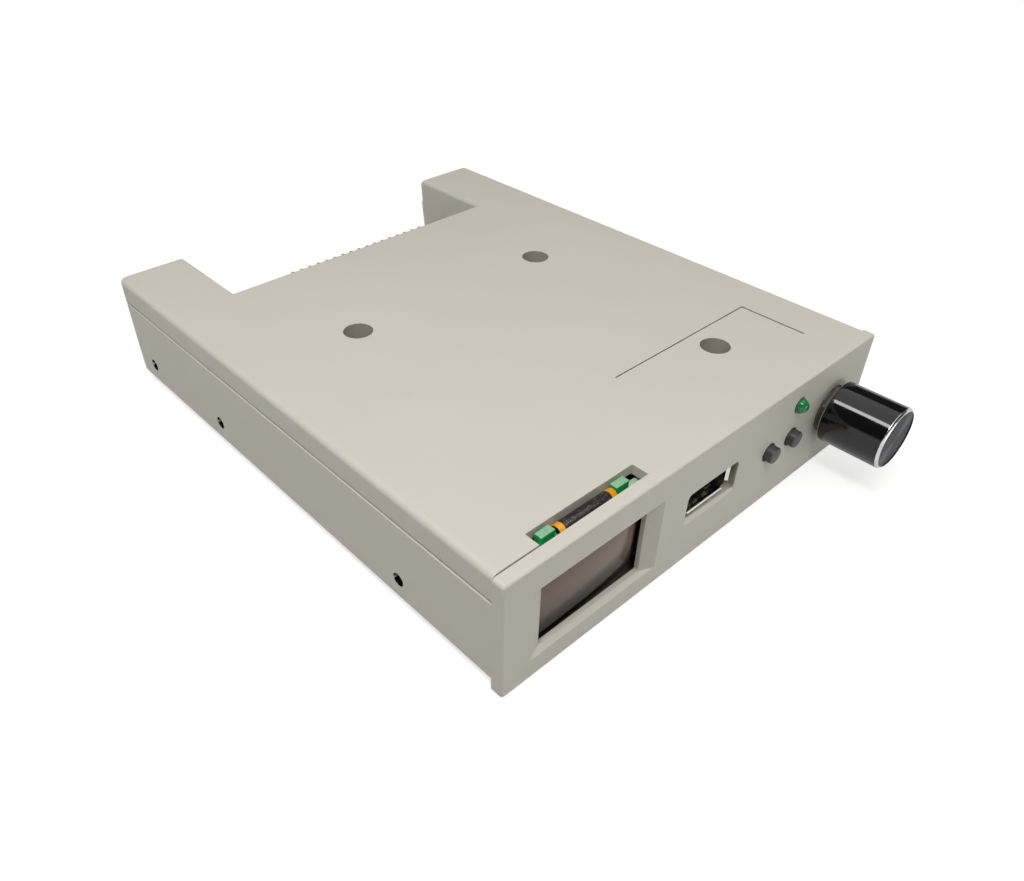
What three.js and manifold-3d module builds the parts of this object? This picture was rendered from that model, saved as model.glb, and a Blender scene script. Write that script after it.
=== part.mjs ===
// Floppy drive emulator for a 3.5-inch drive bay, with a small display, two buttons, a lamp,
// a USB-A socket and a rotary knob that turns and pushes. Millimetres, +Z up, front towards -Y.

import * as THREE from 'three';
import { mergeVertices } from 'three/addons/utils/BufferGeometryUtils.js';
import Module from 'manifold-3d';

const wasm = await Module();
wasm.setup();

// Bay form factor and case shells
const bezelWidth = 101.6;
const bezelHeight = 25.4;
const caseLength = 124;
const bezelThickness = 2.4;
const bezelOverhang = 0.3;
const bezelLip = 2;
const bezelCornerRadius = 0.8;
const bezelEdgeRadius = 0.5;
const wall = 2;
const floorThickness = 2;
const coverThickness = 2;
const coverRimHeight = 5.9;
const seamGap = 0.3;
const caseCornerRadius = 1.5;
const coverEdgeRadius = 1.2;
const trayEdgeRadius = 0.8;
const rearSlant = 1.8;
const notchWidth = 70;
const notchDepth = 23;
const shelfSetback = 6;
const tongueHeight = 1.5;
const tongueThickness = 0.9;
const tongueRootHeight = 1.5;
const skirtClear = 1.5;
const coverRibHeight = 1.5;
const coverRibThickness = 1.2;
const coverRibX = 15;
const coverRibFront = 30;
const floorRibHeight = 1.6;
const floorRibX = 12;
const floorRibFront = 22;
const ribNotchGap = 5;
const crossRibY = 46;
const ledgeDepth = 2;
const ledgeHeight = 1.2;
const ledgeBayGap = 2.6;
const ledgeLampGap = 5.4;
const farLedgeReach = 7.75;
const farLedgeSideGap = 4.5;
const grooveWidth = 0.3;
const grooveDepth = 0.3;
const grooveLeft = 0.3;
const grooveSideGap = 10.4;
const grooveFront = 9.6;
const grooveRear = 24.4;

// Clearances
const fitGap = 0.3;
const screwGap = 0.3;
const overrun = 3;

// Screws through the cover wells and into the board; insets run from the board's sides and the notch
const wellSideInset = 16.65;
const wellRearInset = 31.15;
const wellLampShift = 2.2;
const wellFrontY = 18.7;
const wellRadius = 3;
const wellWall = 1.2;
const wellFloor = 2.35;
const screwShankRadius = 1.4;
const screwHeadRadius = 2.6;
const screwHeadHeight = 1.9;
const screwDriveRadius = 1;
const screwDriveDepth = 1;
const screwTipClear = 0.8;
const bossRadius = 3.4;
const boardScrewSideShare = 0.915663;
const boardScrewFrontY = 30;
const boardScrewRearInset = 8;

// Threaded mounting holes in the sides and underside; insets run from the case's rear and sides
const sideHoleHeight = 6.6;
const sideHoleFrontY = 25.8;
const sideHoleMiddleInset = 38.2;
const sideHoleRearInset = 8.2;
const mountHoleRadius = 1.35;
const sideBossRadius = 2.6;
const sideBossLength = 6;
const sideHoleDepth = 6;
const undersideHoleSideInset = 6;
const undersideHoleFrontY = 36;
const undersideHoleRearInset = 18;
const undersideBossRadius = 2.7;
const undersideBossHeight = 3.5;
const undersideHoleDepth = 4.5;

// Main board
const boardTop = 9.65;
const boardThickness = 1.6;
const boardBossGap = 1;
const boardFront = 4.2;
const boardNotchGap = 2.5;
const boardTailSideGap = 2;
const boardTailInset = 7;
const displayBayGap = 1.6;
const displayBayDepth = 13.3;
const encoderBayReach = 8.15;
const encoderBayDepth = 12.3;

// Display window in the bezel; it keeps its share of the bezel's left half, less a shift
const windowSideShare = 0.7;
const windowShift = 6.01;
const windowBottomMargin = 4.4;
const windowTopMargin = 5.6;
const windowWidth = 30.5;
const windowSideSlope = 3.5;
const windowEndSlope = 0.7;
const windowSlopeDepth = 0.9;
const windowCornerRadius = 0.4;
const displayPocketDepth = 0.6;

// Display module
const displayShift = 0.3;
const glassWidth = 26.7;
const glassHeadGap = 0.4;
const frontGlassThickness = 0.7;
const rearGlassThickness = 0.75;
const glassLedge = 3.4;
const glassBond = 0.15;
const displayBoardWidth = 27.3;
const displayBoardThickness = 1.5;
const displayFootGap = 0.5;
const displayShoulderDrop = 0.6;
const earWidth = 3;
const earInset = 0.4;
const earSpan = 19.8;
const displayHoleRadius = 1.5;
const displayHoleInset = 2.6;
const flexWidth = 12.8;
const flexThickness = 0.2;
const flexTailLength = 8;
const pinPitch = 2.54;
const pinSize = 0.64;
const displayPinCount = 4;
const displayPinReach = 6;
const displayPlugLength = 14;
const ribbonWirePitch = 1.27;
const ribbonThickness = 1.35;
const displayRibbonRun = 12;
const slotLeftMargin = 1.35;
const slotRightMargin = 3.05;
const slotDepth = 3.05;

// USB-A socket
const usbOpeningWidth = 12.5;
const usbOpeningHeight = 5.12;
const usbShellWall = 0.3;
const usbShellLength = 13.4;
const usbFootHeight = 0.75;
const usbRecessSideSlope = 0.95;
const usbRecessEndSlope = 0.55;
const usbRecessDepth = 0.75;
const usbRecessRadius = 1.1;
const usbMouthRadius = 0.5;
const usbTongueThickness = 1.84;
const usbTongueWidth = 11.1;
const usbTongueSetback = 1.2;
const usbTongueRise = 0.3;
const usbBlockLength = 3.6;
const usbCapLength = 1.5;
const usbContactInner = 1;
const usbContactOuter = 3.5;
const usbContactWidth = 1;
const usbContactHeight = 0.2;
const usbContactSetback = 0.8;
const usbLegWidth = 2;
const usbLegReach = 1.2;
const usbLegFrontShare = 0.35;

// Push buttons and the switches behind them
const buttonGapShare = 0.67382;
const buttonPitch = 7.35;
const buttonHoleRadius = 2;
const buttonRadius = 1.7;
const buttonReach = 1.6;
const buttonChamfer = 0.25;
const buttonTravel = 0.3;
const switchSize = 6.2;
const switchFront = 6;
const switchDepth = 3.6;
const switchPlateThickness = 0.3;
const switchWall = 0.7;
const switchArmHeight = 2.4;
const switchArmDepth = 2.6;
const switchCavityRadius = 2.75;
const buttonFlangeRadius = 2.4;
const buttonFlangeThickness = 0.6;
const buttonNubRadius = 1;
const domeRadius = 2.3;
const domeHeight = 0.5;
const domeThickness = 0.15;
const stopGap = 0.05;

// Indicator lamp
const ledShift = 0.25;
const ledRiseShare = 0.68075;
const ledRadius = 1.5;
const ledHoleRadius = 1.65;
const ledReach = 1.5;
const ledFlangeRadius = 1.9;
const ledFlangeThickness = 1;
const ledLeadSize = 0.5;
const ledLeadY = 12;
const ledLeadTail = 1;
const ledLeadHoleRadius = 0.65;

// Rotary encoder with push switch
const encoderSideGap = 11.75;
const encoderDrop = 0.55;
const encoderPlateThickness = 0.8;
const bushRadius = 3.5;
const bushBoreRadius = 2.75;
const bushReach = 3.1;
const bushHoleGap = 0.15;
const washerThickness = 0.5;
const washerRadius = 5;
const nutAcrossFlats = 9;
const nutSides = 6;
const nutThickness = 1.8;
const nutBoreGap = 0.15;
const encoderHousingSize = 11.6;
const encoderHousingDepth = 6;
const encoderRearWall = 1.2;
const encoderCavityRadius = 5.3;
const encoderStrapThickness = 0.3;
const encoderStrapWidth = 5;
const encoderStrapHook = 1.6;
const encoderSwitchDepth = 3.5;
const plungerRadius = 1.8;
const plungerCavityRadius = 2.2;
const plungerLength = 1.1;
const plungerChamfer = 0.2;
const pushTravel = 0.5;
const rotorRadius = 4.5;
const rotorThickness = 2.3;
const detentCount = 20;
const detentDepth = 0.35;
const detentSpringThickness = 0.3;
const detentSpringWidth = 1.6;
const shaftRadius = 3;
const shaftNeckRadius = 2.4;
const shaftFlatDepth = 1.3;
const shaftReach = 11.6;
const collarRadius = 3.3;
const collarThickness = 1.1;
const driveRadius = 2;
const driveFlatDepth = 0.7;
const driveGap = 0.15;
const tailRadius = 1.2;
const tailHoleRadius = 1.6;
const tailReach = 0.4;
const terminalWidth = 0.8;
const terminalThickness = 0.4;
const terminalFloorGap = 0.95;
const terminalPitch = 2.5;
const encoderRibbonRun = 17;
const encoderRibbonWires = 5;
const encoderWirePitch = 1;
const encoderRibbonThickness = 1.1;

// Knob
const knobRadius = 6.42;
const knobGap = 1.53;
const knobLength = 12.82;
const knobChamfer = 0.45;
const knobRearChamfer = 0.25;
const knobRimWidth = 0.35;
const knobDish = 0.35;
const knobCavityRadius = 5.6;
const knobCavityDepth = 2.37;
const knobBoreRadius = 4.2;
const knobFrontWall = 1.8;
const insertGap = 0.2;

// Board parts and rear connectors; insets run from the notch, side insets from the board's side
const chipSize = 7;
const chipThickness = 1.4;
const chipStandoff = 0.1;
const chipLeadsPerSide = 8;
const chipLeadPitch = 0.8;
const chipLeadWidth = 0.37;
const chipLeadReach = 1;
const chipLeadThickness = 0.7;
const chipX = 4;
const chipInset = 39;
const crystalLength = 10.4;
const crystalWidth = 3.9;
const crystalHeight = 3.4;
const crystalFlange = 0.4;
const crystalFlangeThickness = 0.5;
const crystalX = -7;
const crystalInset = 53;
const regulatorWidth = 6.5;
const regulatorDepth = 3.5;
const regulatorHeight = 1.7;
const regulatorTabWidth = 3;
const regulatorLeadCount = 3;
const regulatorLeadWidth = 0.75;
const regulatorLeadPitch = 2.3;
const regulatorLeadReach = 1.75;
const regulatorLeadThickness = 0.6;
const regulatorSideInset = 9.5;
const regulatorInset = 17;
const capacitorRadius = 3.15;
const capacitorHeight = 7;
const capacitorBase = 6.6;
const capacitorBaseHeight = 0.9;
const capacitorGroove = 0.25;
const capacitorGrooveHeight = 0.5;
const capacitorInputSideInset = 19.5;
const capacitorOutputSideInset = 5.5;
const capacitorInputInset = 15;
const capacitorOutputInset = 29;
const driverLength = 8.7;
const driverWidth = 3.9;
const driverHeight = 1.5;
const driverLeadCount = 7;
const driverLeadPitch = 1.27;
const driverLeadWidth = 0.42;
const driverSideInset = 35.5;
const driverPitchX = 16;
const driverInset = 13;
const resistorLength = 5;
const resistorWidth = 2;
const resistorHeight = 0.6;
const resistorInset = 6;
const headerSideGap = 2.21;
const headerJumperGap = 1.3;
const headerRearGap = 10.8;
const headerDepth = 2.5;
const headerHeight = 5.08;
const headerTipGap = 1.3;
const headerRowLow = 1.27;
const headerLegGap = 13;
const powerPinCount = 4;
const powerSideGap = 3.02;
const powerRearGap = 15.5;
const powerBodyDepth = 4.6;
const powerBodyHeight = 5.4;
const powerSideWall = 0.7;
const powerShelfDepth = 6;
const powerShelfHeight = 1.1;
const powerPinHeight = 3.2;
const powerPinReach = 7.4;
const jumperColumns = 3;
const jumperRows = 2;
const jumperPowerGap = 1.01;
const jumperRearGap = 16;
const jumperBaseHeight = 2.5;
const jumperPinHeight = 8.5;
const jumperCapHeight = 6.4;
const jumperCapDepth = 4.8;
const jumperCapWidth = 2.3;

// Facets
const holeSegments = 16;
const smallSegments = 10;
const knobSegments = 40;
const cornerSteps = 2;
const loopSteps = 4;
const wireSteps = 3;
const edgeSteps = 3;
const samePointShare = 0.001;
const domeSteps = 5;
const ribbonSteps = 6;
const springSteps = 10;
const domeShoulderShare = 0.55;
const crystalEndShare = 0.98;
const springOverhangShare = 0.2;
const springStart = -Math.PI * springOverhangShare;
const springEnd = Math.PI - springStart;

// Sizes and places that follow from the sizes above
const seamHeight = bezelHeight - coverRimHeight;
const trayTop = seamHeight - seamGap / 2;
const coverSeam = seamHeight + seamGap / 2;
const coverUnderside = bezelHeight - coverThickness;
const coverFront = bezelThickness + seamGap;
const trayBottom = bezelLip;
const trayFloor = trayBottom + floorThickness;
const caseHalfWidth = bezelWidth / 2 - bezelOverhang;
const notchHalf = notchWidth / 2;
const notchFront = caseLength - notchDepth;
const boardBottom = boardTop - boardThickness;
const boardHalfWidth = caseHalfWidth - wall - sideBossLength - boardBossGap;
const boardRear = notchFront - boardNotchGap;
const boardTailHalfWidth = notchHalf - boardTailSideGap;
const boardTailRear = caseLength - boardTailInset;
const switchCentreZ = boardTop + switchSize / 2;
const screwHoleRadius = screwShankRadius + screwGap;
const boxCentreY = (caseLength - knobGap - knobLength) / 2;
const sideHoleMiddleY = caseLength - sideHoleMiddleInset;
const sideHoleRearY = caseLength - sideHoleRearInset;
const undersideHoleX = caseHalfWidth - undersideHoleSideInset;
const undersideHoleRearY = caseLength - undersideHoleRearInset;
const ribRear = notchFront - ribNotchGap;
const grooveRight = caseHalfWidth - grooveSideGap;

// Places across the bezel, and what stands behind them
const usbShellWidth = usbOpeningWidth + usbShellWall * 2;
const switchHalf = switchSize / 2 + switchPlateThickness;
const encoderX = caseHalfWidth - encoderSideGap;
const encoderFrameHalf = encoderHousingSize / 2 + fitGap + encoderStrapThickness;
const buttonRoom = encoderX - encoderFrameHalf - usbShellWidth / 2 - buttonPitch - switchHalf * 2;
const buttonLeftX = usbShellWidth / 2 + switchHalf + buttonRoom * buttonGapShare;
const windowCentreX = windowShift - bezelWidth / 2 * windowSideShare;
const displayCentreX = windowCentreX - displayShift;
const displayBayX = displayCentreX + displayBoardWidth / 2 + displayBayGap;
const encoderBayX = encoderX - encoderBayReach;
const slotLeftX = displayCentreX - earSpan / 2 - slotLeftMargin;
const slotRightX = displayCentreX + earSpan / 2 + slotRightMargin;
const ledX = buttonLeftX + buttonPitch + ledShift;
const ledgeLeftX = displayBayX + ledgeBayGap;
const ledgeRightX = ledX - ledgeLampGap;
const farLedgeLeftX = encoderX - farLedgeReach;
const farLedgeRightX = caseHalfWidth - farLedgeSideGap;
const wellX = boardHalfWidth - wellSideInset;
const wellFrontX = ledX - wellLampShift;
const wellRearY = notchFront - wellRearInset;
const boardScrewX = boardHalfWidth * boardScrewSideShare;
const boardScrewRearY = notchFront - boardScrewRearInset;

// Heights between the tray's floor and the cover
const windowHeight = bezelHeight - windowBottomMargin - windowTopMargin;
const windowCentreZ = windowBottomMargin + windowHeight / 2;
const displayBoardBottom = trayFloor + displayFootGap;
const glassBottom = displayBoardBottom;
const glassHeight = coverUnderside - glassHeadGap - glassBottom;
const ledZ = switchCentreZ + (coverUnderside - switchCentreZ) * ledRiseShare;
const encoderZ = (trayFloor + coverUnderside) / 2 - encoderDrop;
const terminalReach = encoderZ - encoderHousingSize / 2 - trayFloor - terminalFloorGap;

// Places on the board, from its sides and from the notch
const chipY = notchFront - chipInset;
const crystalY = notchFront - crystalInset;
const regulatorX = -boardHalfWidth + regulatorSideInset;
const regulatorY = notchFront - regulatorInset;
const capacitorInputX = -boardHalfWidth + capacitorInputSideInset;
const capacitorInputY = notchFront - capacitorInputInset;
const capacitorOutputX = -boardHalfWidth + capacitorOutputSideInset;
const capacitorOutputY = notchFront - capacitorOutputInset;
const driverLeft = boardHalfWidth - driverSideInset;
const driverY = notchFront - driverInset;
const resistorY = notchFront - resistorInset;

// Connectors in the notch, side by side; the drive cable's header takes the room that is left
const powerHalf = powerPinCount * pinPitch / 2 + powerSideWall;
const powerCentreX = -notchHalf + powerSideGap + powerHalf;
const powerFront = caseLength - powerRearGap;
const jumperHalf = jumperColumns * pinPitch / 2;
const jumperCentreX = powerCentreX + powerHalf + jumperPowerGap + jumperHalf;
const jumperCentreY = caseLength - jumperRearGap;
const headerRight = notchHalf - headerSideGap;
const headerRoom = headerRight - jumperCentreX - jumperHalf - headerJumperGap;
const headerColumns = Math.floor(headerRoom / pinPitch);
const headerCentreX = headerRight - headerColumns * pinPitch / 2;
const headerFront = caseLength - headerRearGap;
const headerPinTip = caseLength - headerTipGap;
const headerLegStart = caseLength - headerLegGap;

// Depths, from the bezel's face
const glassFront = bezelThickness - displayPocketDepth + fitGap;
const glassMiddle = glassFront + frontGlassThickness;
const glassBack = glassMiddle + rearGlassThickness;
const displayBoardFront = glassBack + glassBond;
const displayBoardBack = displayBoardFront + displayBoardThickness;
const displayStripBack = displayBoardBack + pinPitch;
const displayPinZ = displayBoardBottom + pinPitch / 2;
const switchPlateBack = switchFront + switchPlateThickness;
const switchBack = switchFront + switchDepth;
const encoderPlateBack = bezelThickness + encoderPlateThickness;
const encoderHousingFront = encoderPlateBack + fitGap;
const encoderHousingBack = encoderHousingFront + encoderHousingDepth;
const encoderSwitchFront = encoderHousingBack + fitGap;
const encoderSwitchBack = encoderSwitchFront + encoderSwitchDepth;
const rotorFront = encoderHousingFront + collarThickness + pushTravel + fitGap;
const tailTip = encoderSwitchFront + tailReach;
const plungerFront = tailTip + fitGap;
const knobCavityFloor = knobGap + knobCavityDepth;

const finishes = {
  casePlastic: { color: 0xc6c1b3, roughness: 0.55, metalness: 0 },
  knobMetal: { color: 0x17171a, roughness: 0.25, metalness: 0.7 },
  blackPlastic: { color: 0x1b1b1c, roughness: 0.5, metalness: 0 },
  board: { color: 0x1f5c3a, roughness: 0.45, metalness: 0 },
  displayBoard: { color: 0x1f8a4c, roughness: 0.4, metalness: 0 },
  steel: { color: 0xb9bbbd, roughness: 0.3, metalness: 1 },
  brass: { color: 0xc9a65a, roughness: 0.35, metalness: 1 },
  glass: { color: 0x4d4440, roughness: 0.08, metalness: 0 },
  film: { color: 0x17130f, roughness: 0.35, metalness: 0 },
  lamp: { color: 0x1f8f4a, roughness: 0.15, metalness: 0 },
  whitePlastic: { color: 0xe6e3da, roughness: 0.5, metalness: 0 },
  wire: { color: 0x8a8d90, roughness: 0.6, metalness: 0 },
};

// A closed geometry becomes a solid once its seams are merged and its pole slivers dropped.
function solidOf(geometry) {
  const bare = geometry.clone();
  bare.deleteAttribute('normal');
  bare.deleteAttribute('uv');
  const merged = mergeVertices(bare);
  const corners = merged.index.array;
  const faces = [];
  for (let i = 0; i < corners.length; i += 3) {
    const [a, b, c] = [corners[i], corners[i + 1], corners[i + 2]];
    if (a !== b && b !== c && c !== a) {
      faces.push(a, b, c);
    }
  }
  const vertProperties = new Float32Array(merged.attributes.position.array);
  const triVerts = new Uint32Array(faces);
  return new wasm.Manifold(new wasm.Mesh({ numProp: 3, vertProperties, triVerts }));
}

function join(...solids) {
  return solids.reduce((whole, next) => whole.add(next));
}

function cut(base, ...tools) {
  return tools.reduce((rest, tool) => rest.subtract(tool), base);
}

// Box between two corners.
function block(x0, x1, y0, y1, z0, z1) {
  const geometry = new THREE.BoxGeometry(x1 - x0, y1 - y0, z1 - z0);
  return solidOf(geometry.translate((x0 + x1) / 2, (y0 + y1) / 2, (z0 + z1) / 2));
}

// Cylinders along each axis.
function cylinderX(x0, x1, y, z, radius, segments = holeSegments) {
  const geometry = new THREE.CylinderGeometry(radius, radius, x1 - x0, segments);
  return solidOf(geometry.rotateZ(-Math.PI / 2).translate((x0 + x1) / 2, y, z));
}

function cylinderY(x, y0, y1, z, radius, segments = holeSegments) {
  const geometry = new THREE.CylinderGeometry(radius, radius, y1 - y0, segments);
  return solidOf(geometry.translate(x, (y0 + y1) / 2, z));
}

function cylinderZ(x, y, z0, z1, radius, segments = holeSegments) {
  const geometry = new THREE.CylinderGeometry(radius, radius, z1 - z0, segments);
  return solidOf(geometry.rotateX(Math.PI / 2).translate(x, y, (z0 + z1) / 2));
}

// Round pieces from a profile of [radius, place along the axis] points.
function turnedY(profile, x, z, segments = holeSegments) {
  const points = profile.map(([radius, along]) => new THREE.Vector2(radius, along));
  return solidOf(new THREE.LatheGeometry(points, segments).translate(x, 0, z));
}

function turnedZ(profile, x, y, segments = holeSegments) {
  const points = profile.map(([radius, along]) => new THREE.Vector2(radius, along));
  return solidOf(new THREE.LatheGeometry(points, segments).rotateX(Math.PI / 2).translate(x, y, 0));
}

// Extrusions: a plan outline upwards, a front outline along Y, a side outline along X.
function planPrism(shape, z0, z1) {
  const geometry = new THREE.ExtrudeGeometry(shape, {
    depth: z1 - z0, bevelEnabled: false, curveSegments: cornerSteps,
  });
  return solidOf(geometry.translate(0, 0, z0));
}

function frontPrism(shape, y0, y1, curveSegments = cornerSteps) {
  const geometry = new THREE.ExtrudeGeometry(shape, {
    depth: y1 - y0, bevelEnabled: false, curveSegments,
  });
  return solidOf(geometry.rotateX(Math.PI / 2).translate(0, y1, 0));
}

function sidePrism(shape, x0, x1) {
  const geometry = new THREE.ExtrudeGeometry(shape, {
    depth: x1 - x0, bevelEnabled: false, curveSegments: loopSteps,
  });
  const turn = new THREE.Matrix4().makeBasis(
    new THREE.Vector3(0, 1, 0), new THREE.Vector3(0, 0, 1), new THREE.Vector3(1, 0, 0),
  );
  return solidOf(geometry.applyMatrix4(turn).translate(x0, 0, 0));
}

// A prism whose outline draws in round an arc of the given radius at both ends.
function roundedPrism(shape, depth, radius) {
  return new THREE.ExtrudeGeometry(shape, {
    depth: depth - radius * 2,
    bevelEnabled: true,
    bevelThickness: radius,
    bevelSize: radius,
    bevelOffset: -radius,
    bevelSegments: edgeSteps,
    curveSegments: cornerSteps,
  }).translate(0, 0, radius);
}

function polygon(points) {
  return new THREE.Shape(points.map(([x, y]) => new THREE.Vector2(x, y)));
}

function roundedRectangle(x0, x1, y0, y1, radius) {
  const shape = new THREE.Shape();
  shape.moveTo(x0 + radius, y0);
  shape.lineTo(x1 - radius, y0);
  shape.absarc(x1 - radius, y0 + radius, radius, -Math.PI / 2, 0);
  shape.lineTo(x1, y1 - radius);
  shape.absarc(x1 - radius, y1 - radius, radius, 0, Math.PI / 2);
  shape.lineTo(x0 + radius, y1);
  shape.absarc(x0 + radius, y1 - radius, radius, Math.PI / 2, Math.PI);
  shape.lineTo(x0, y0 + radius);
  shape.absarc(x0 + radius, y0 + radius, radius, Math.PI, Math.PI * 1.5);
  return shape;
}

// A recess that narrows from a rounded rectangle at the front face to a smaller one at a depth.
// Its slopes run on in front of the face, so that the cut opens cleanly.
function taperedRecess(centreX, centreZ, mouth, throat, depth) {
  const beyond = 1 + overrun / depth;
  const front = {
    width: throat.width + (mouth.width - throat.width) * beyond,
    height: throat.height + (mouth.height - throat.height) * beyond,
    radius: throat.radius + (mouth.radius - throat.radius) * beyond,
  };
  const ring = ({ width, height, radius }, y) => {
    const outline = roundedRectangle(
      centreX - width / 2, centreX + width / 2, centreZ - height / 2, centreZ + height / 2, radius,
    );
    const close = radius * samePointShare;
    const points = outline.getPoints(cornerSteps).filter(
      (point, i, all) => i === 0 || point.distanceTo(all[i - 1]) > close,
    );
    if (points[0].distanceTo(points[points.length - 1]) < close) {
      points.pop();
    }
    return points.map((point) => [point.x, y, point.y]);
  };
  const near = ring(front, -overrun);
  const far = ring(throat, depth);
  const count = near.length;
  const positions = [...near, ...far, [centreX, -overrun, centreZ], [centreX, depth, centreZ]].flat();
  const faces = [];
  for (let i = 0; i < count; i += 1) {
    const next = (i + 1) % count;
    faces.push(i, count + next, next);
    faces.push(i, count + i, count + next);
    faces.push(count * 2, i, next);
    faces.push(count * 2 + 1, count + next, count + i);
  }
  const geometry = new THREE.BufferGeometry();
  geometry.setAttribute('position', new THREE.Float32BufferAttribute(positions, 3));
  geometry.setIndex(faces);
  return solidOf(geometry);
}

// Plan outline of the case, drawn in by an inset, with the rear notch let in.
function caseOutline(inset, front, depth, rearInset = inset) {
  const half = caseHalfWidth - inset;
  const rear = caseLength - rearInset;
  const notch = notchHalf + inset;
  const notchEdge = caseLength - depth - inset;
  const radius = Math.max(caseCornerRadius - inset, 0);
  const shape = new THREE.Shape();
  shape.moveTo(-half, front);
  shape.lineTo(half, front);
  shape.lineTo(half, rear - radius);
  if (radius > 0) {
    shape.absarc(half - radius, rear - radius, radius, 0, Math.PI / 2);
  }
  shape.lineTo(notch, rear);
  shape.lineTo(notch, notchEdge);
  shape.lineTo(-notch, notchEdge);
  shape.lineTo(-notch, rear);
  shape.lineTo(-half + radius, rear);
  if (radius > 0) {
    shape.absarc(-half + radius, rear - radius, radius, Math.PI / 2, Math.PI);
  }
  shape.lineTo(-half, front);
  return shape;
}

// Places in a row of the given pitch, centred on a point.
function centredPlaces(count, pitch, centre) {
  return Array.from({ length: count }, (_, i) => centre + (i - (count - 1) / 2) * pitch);
}

// Everything in front of a plane, behind one, above one or below one, for trimming.
function spaceBefore(y) {
  const reach = bezelWidth + overrun;
  return block(-reach, reach, y - reach, y, -overrun, bezelHeight + overrun);
}

function spaceBehind(y) {
  const reach = bezelWidth + overrun;
  return block(-reach, reach, y, y + reach, -overrun, bezelHeight + overrun);
}

function spaceAbove(z) {
  const reach = bezelWidth + overrun;
  return block(-reach, reach, -overrun, caseLength + overrun, z, z + bezelHeight);
}

function spaceBelow(z) {
  const reach = bezelWidth + overrun;
  return block(-reach, reach, -overrun, caseLength + overrun, z - bezelHeight, z);
}

const coverScrewPlaces = [[-wellX, wellRearY], [wellX, wellRearY], [wellFrontX, wellFrontY]];
const boardScrewPlaces = [
  [-boardScrewX, boardScrewFrontY], [-boardScrewX, boardScrewRearY], [boardScrewX, boardScrewRearY],
];
const screwPlaces = [...coverScrewPlaces, ...boardScrewPlaces];
const buttonPlaces = [buttonLeftX, buttonLeftX + buttonPitch];
const usbBottom = boardTop + usbFootHeight;
const usbShellHeight = usbOpeningHeight + usbShellWall * 2;
const usbCentreZ = usbBottom + usbShellHeight / 2;
const usbFront = usbRecessDepth + fitGap;
const usbShellRear = usbFront + usbShellLength;
const usbLegFront = usbFront + usbShellLength * usbLegFrontShare;
const ledLeadPlaces = [ledX - pinPitch / 2, ledX + pinPitch / 2];
const displayPinPlaces = centredPlaces(displayPinCount, pinPitch, displayCentreX);
const driverPlaces = [driverLeft, driverLeft + driverPitchX];

// Plate with all the openings of the front.
function bezel() {
  const outline = roundedRectangle(-bezelWidth / 2, bezelWidth / 2, 0, bezelHeight, bezelCornerRadius);
  const depth = bezelThickness * 2;
  const plate = roundedPrism(outline, depth, bezelEdgeRadius).rotateX(Math.PI / 2).translate(0, depth, 0);
  const throatWidth = windowWidth - windowSideSlope * 2;
  const throatHeight = windowHeight - windowEndSlope * 2;
  const windowSlope = taperedRecess(
    windowCentreX, windowCentreZ,
    { width: windowWidth, height: windowHeight, radius: windowCornerRadius },
    { width: throatWidth, height: throatHeight, radius: windowCornerRadius },
    windowSlopeDepth,
  );
  const windowThroat = frontPrism(
    roundedRectangle(
      windowCentreX - throatWidth / 2, windowCentreX + throatWidth / 2,
      windowCentreZ - throatHeight / 2, windowCentreZ + throatHeight / 2, windowCornerRadius,
    ),
    windowSlopeDepth / 2, bezelThickness + overrun,
  );
  const glassPocket = block(
    displayCentreX - glassWidth / 2 - fitGap, displayCentreX + glassWidth / 2 + fitGap,
    bezelThickness - displayPocketDepth, bezelThickness + overrun,
    glassBottom - fitGap, glassBottom + glassHeight + fitGap,
  );
  const mouthWidth = usbOpeningWidth + usbShellWall;
  const mouthHeight = usbOpeningHeight + usbShellWall;
  const usbSlope = taperedRecess(
    0, usbCentreZ,
    {
      width: mouthWidth + usbRecessSideSlope * 2,
      height: mouthHeight + usbRecessEndSlope * 2,
      radius: usbRecessRadius,
    },
    { width: mouthWidth, height: mouthHeight, radius: usbMouthRadius },
    usbRecessDepth,
  );
  const usbMouth = frontPrism(
    roundedRectangle(
      -mouthWidth / 2, mouthWidth / 2,
      usbCentreZ - mouthHeight / 2, usbCentreZ + mouthHeight / 2, usbMouthRadius,
    ),
    usbRecessDepth / 2, bezelThickness + overrun,
  );
  const usbPocket = block(
    -usbShellWidth / 2 - fitGap, usbShellWidth / 2 + fitGap, usbRecessDepth, bezelThickness + overrun,
    usbCentreZ - usbShellHeight / 2 - fitGap, usbCentreZ + usbShellHeight / 2 + fitGap,
  );
  const through = bezelThickness + overrun;
  const buttonHoles = buttonPlaces.map(
    (x) => cylinderY(x, -overrun, through, switchCentreZ, buttonHoleRadius),
  );
  return cut(
    solidOf(plate),
    spaceBehind(bezelThickness),
    windowSlope, windowThroat, glassPocket,
    usbSlope, usbMouth, usbPocket,
    ...buttonHoles,
    cylinderY(ledX, -overrun, through, ledZ, ledHoleRadius),
    cylinderY(encoderX, -overrun, through, encoderZ, bushRadius + bushHoleGap),
  );
}

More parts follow.
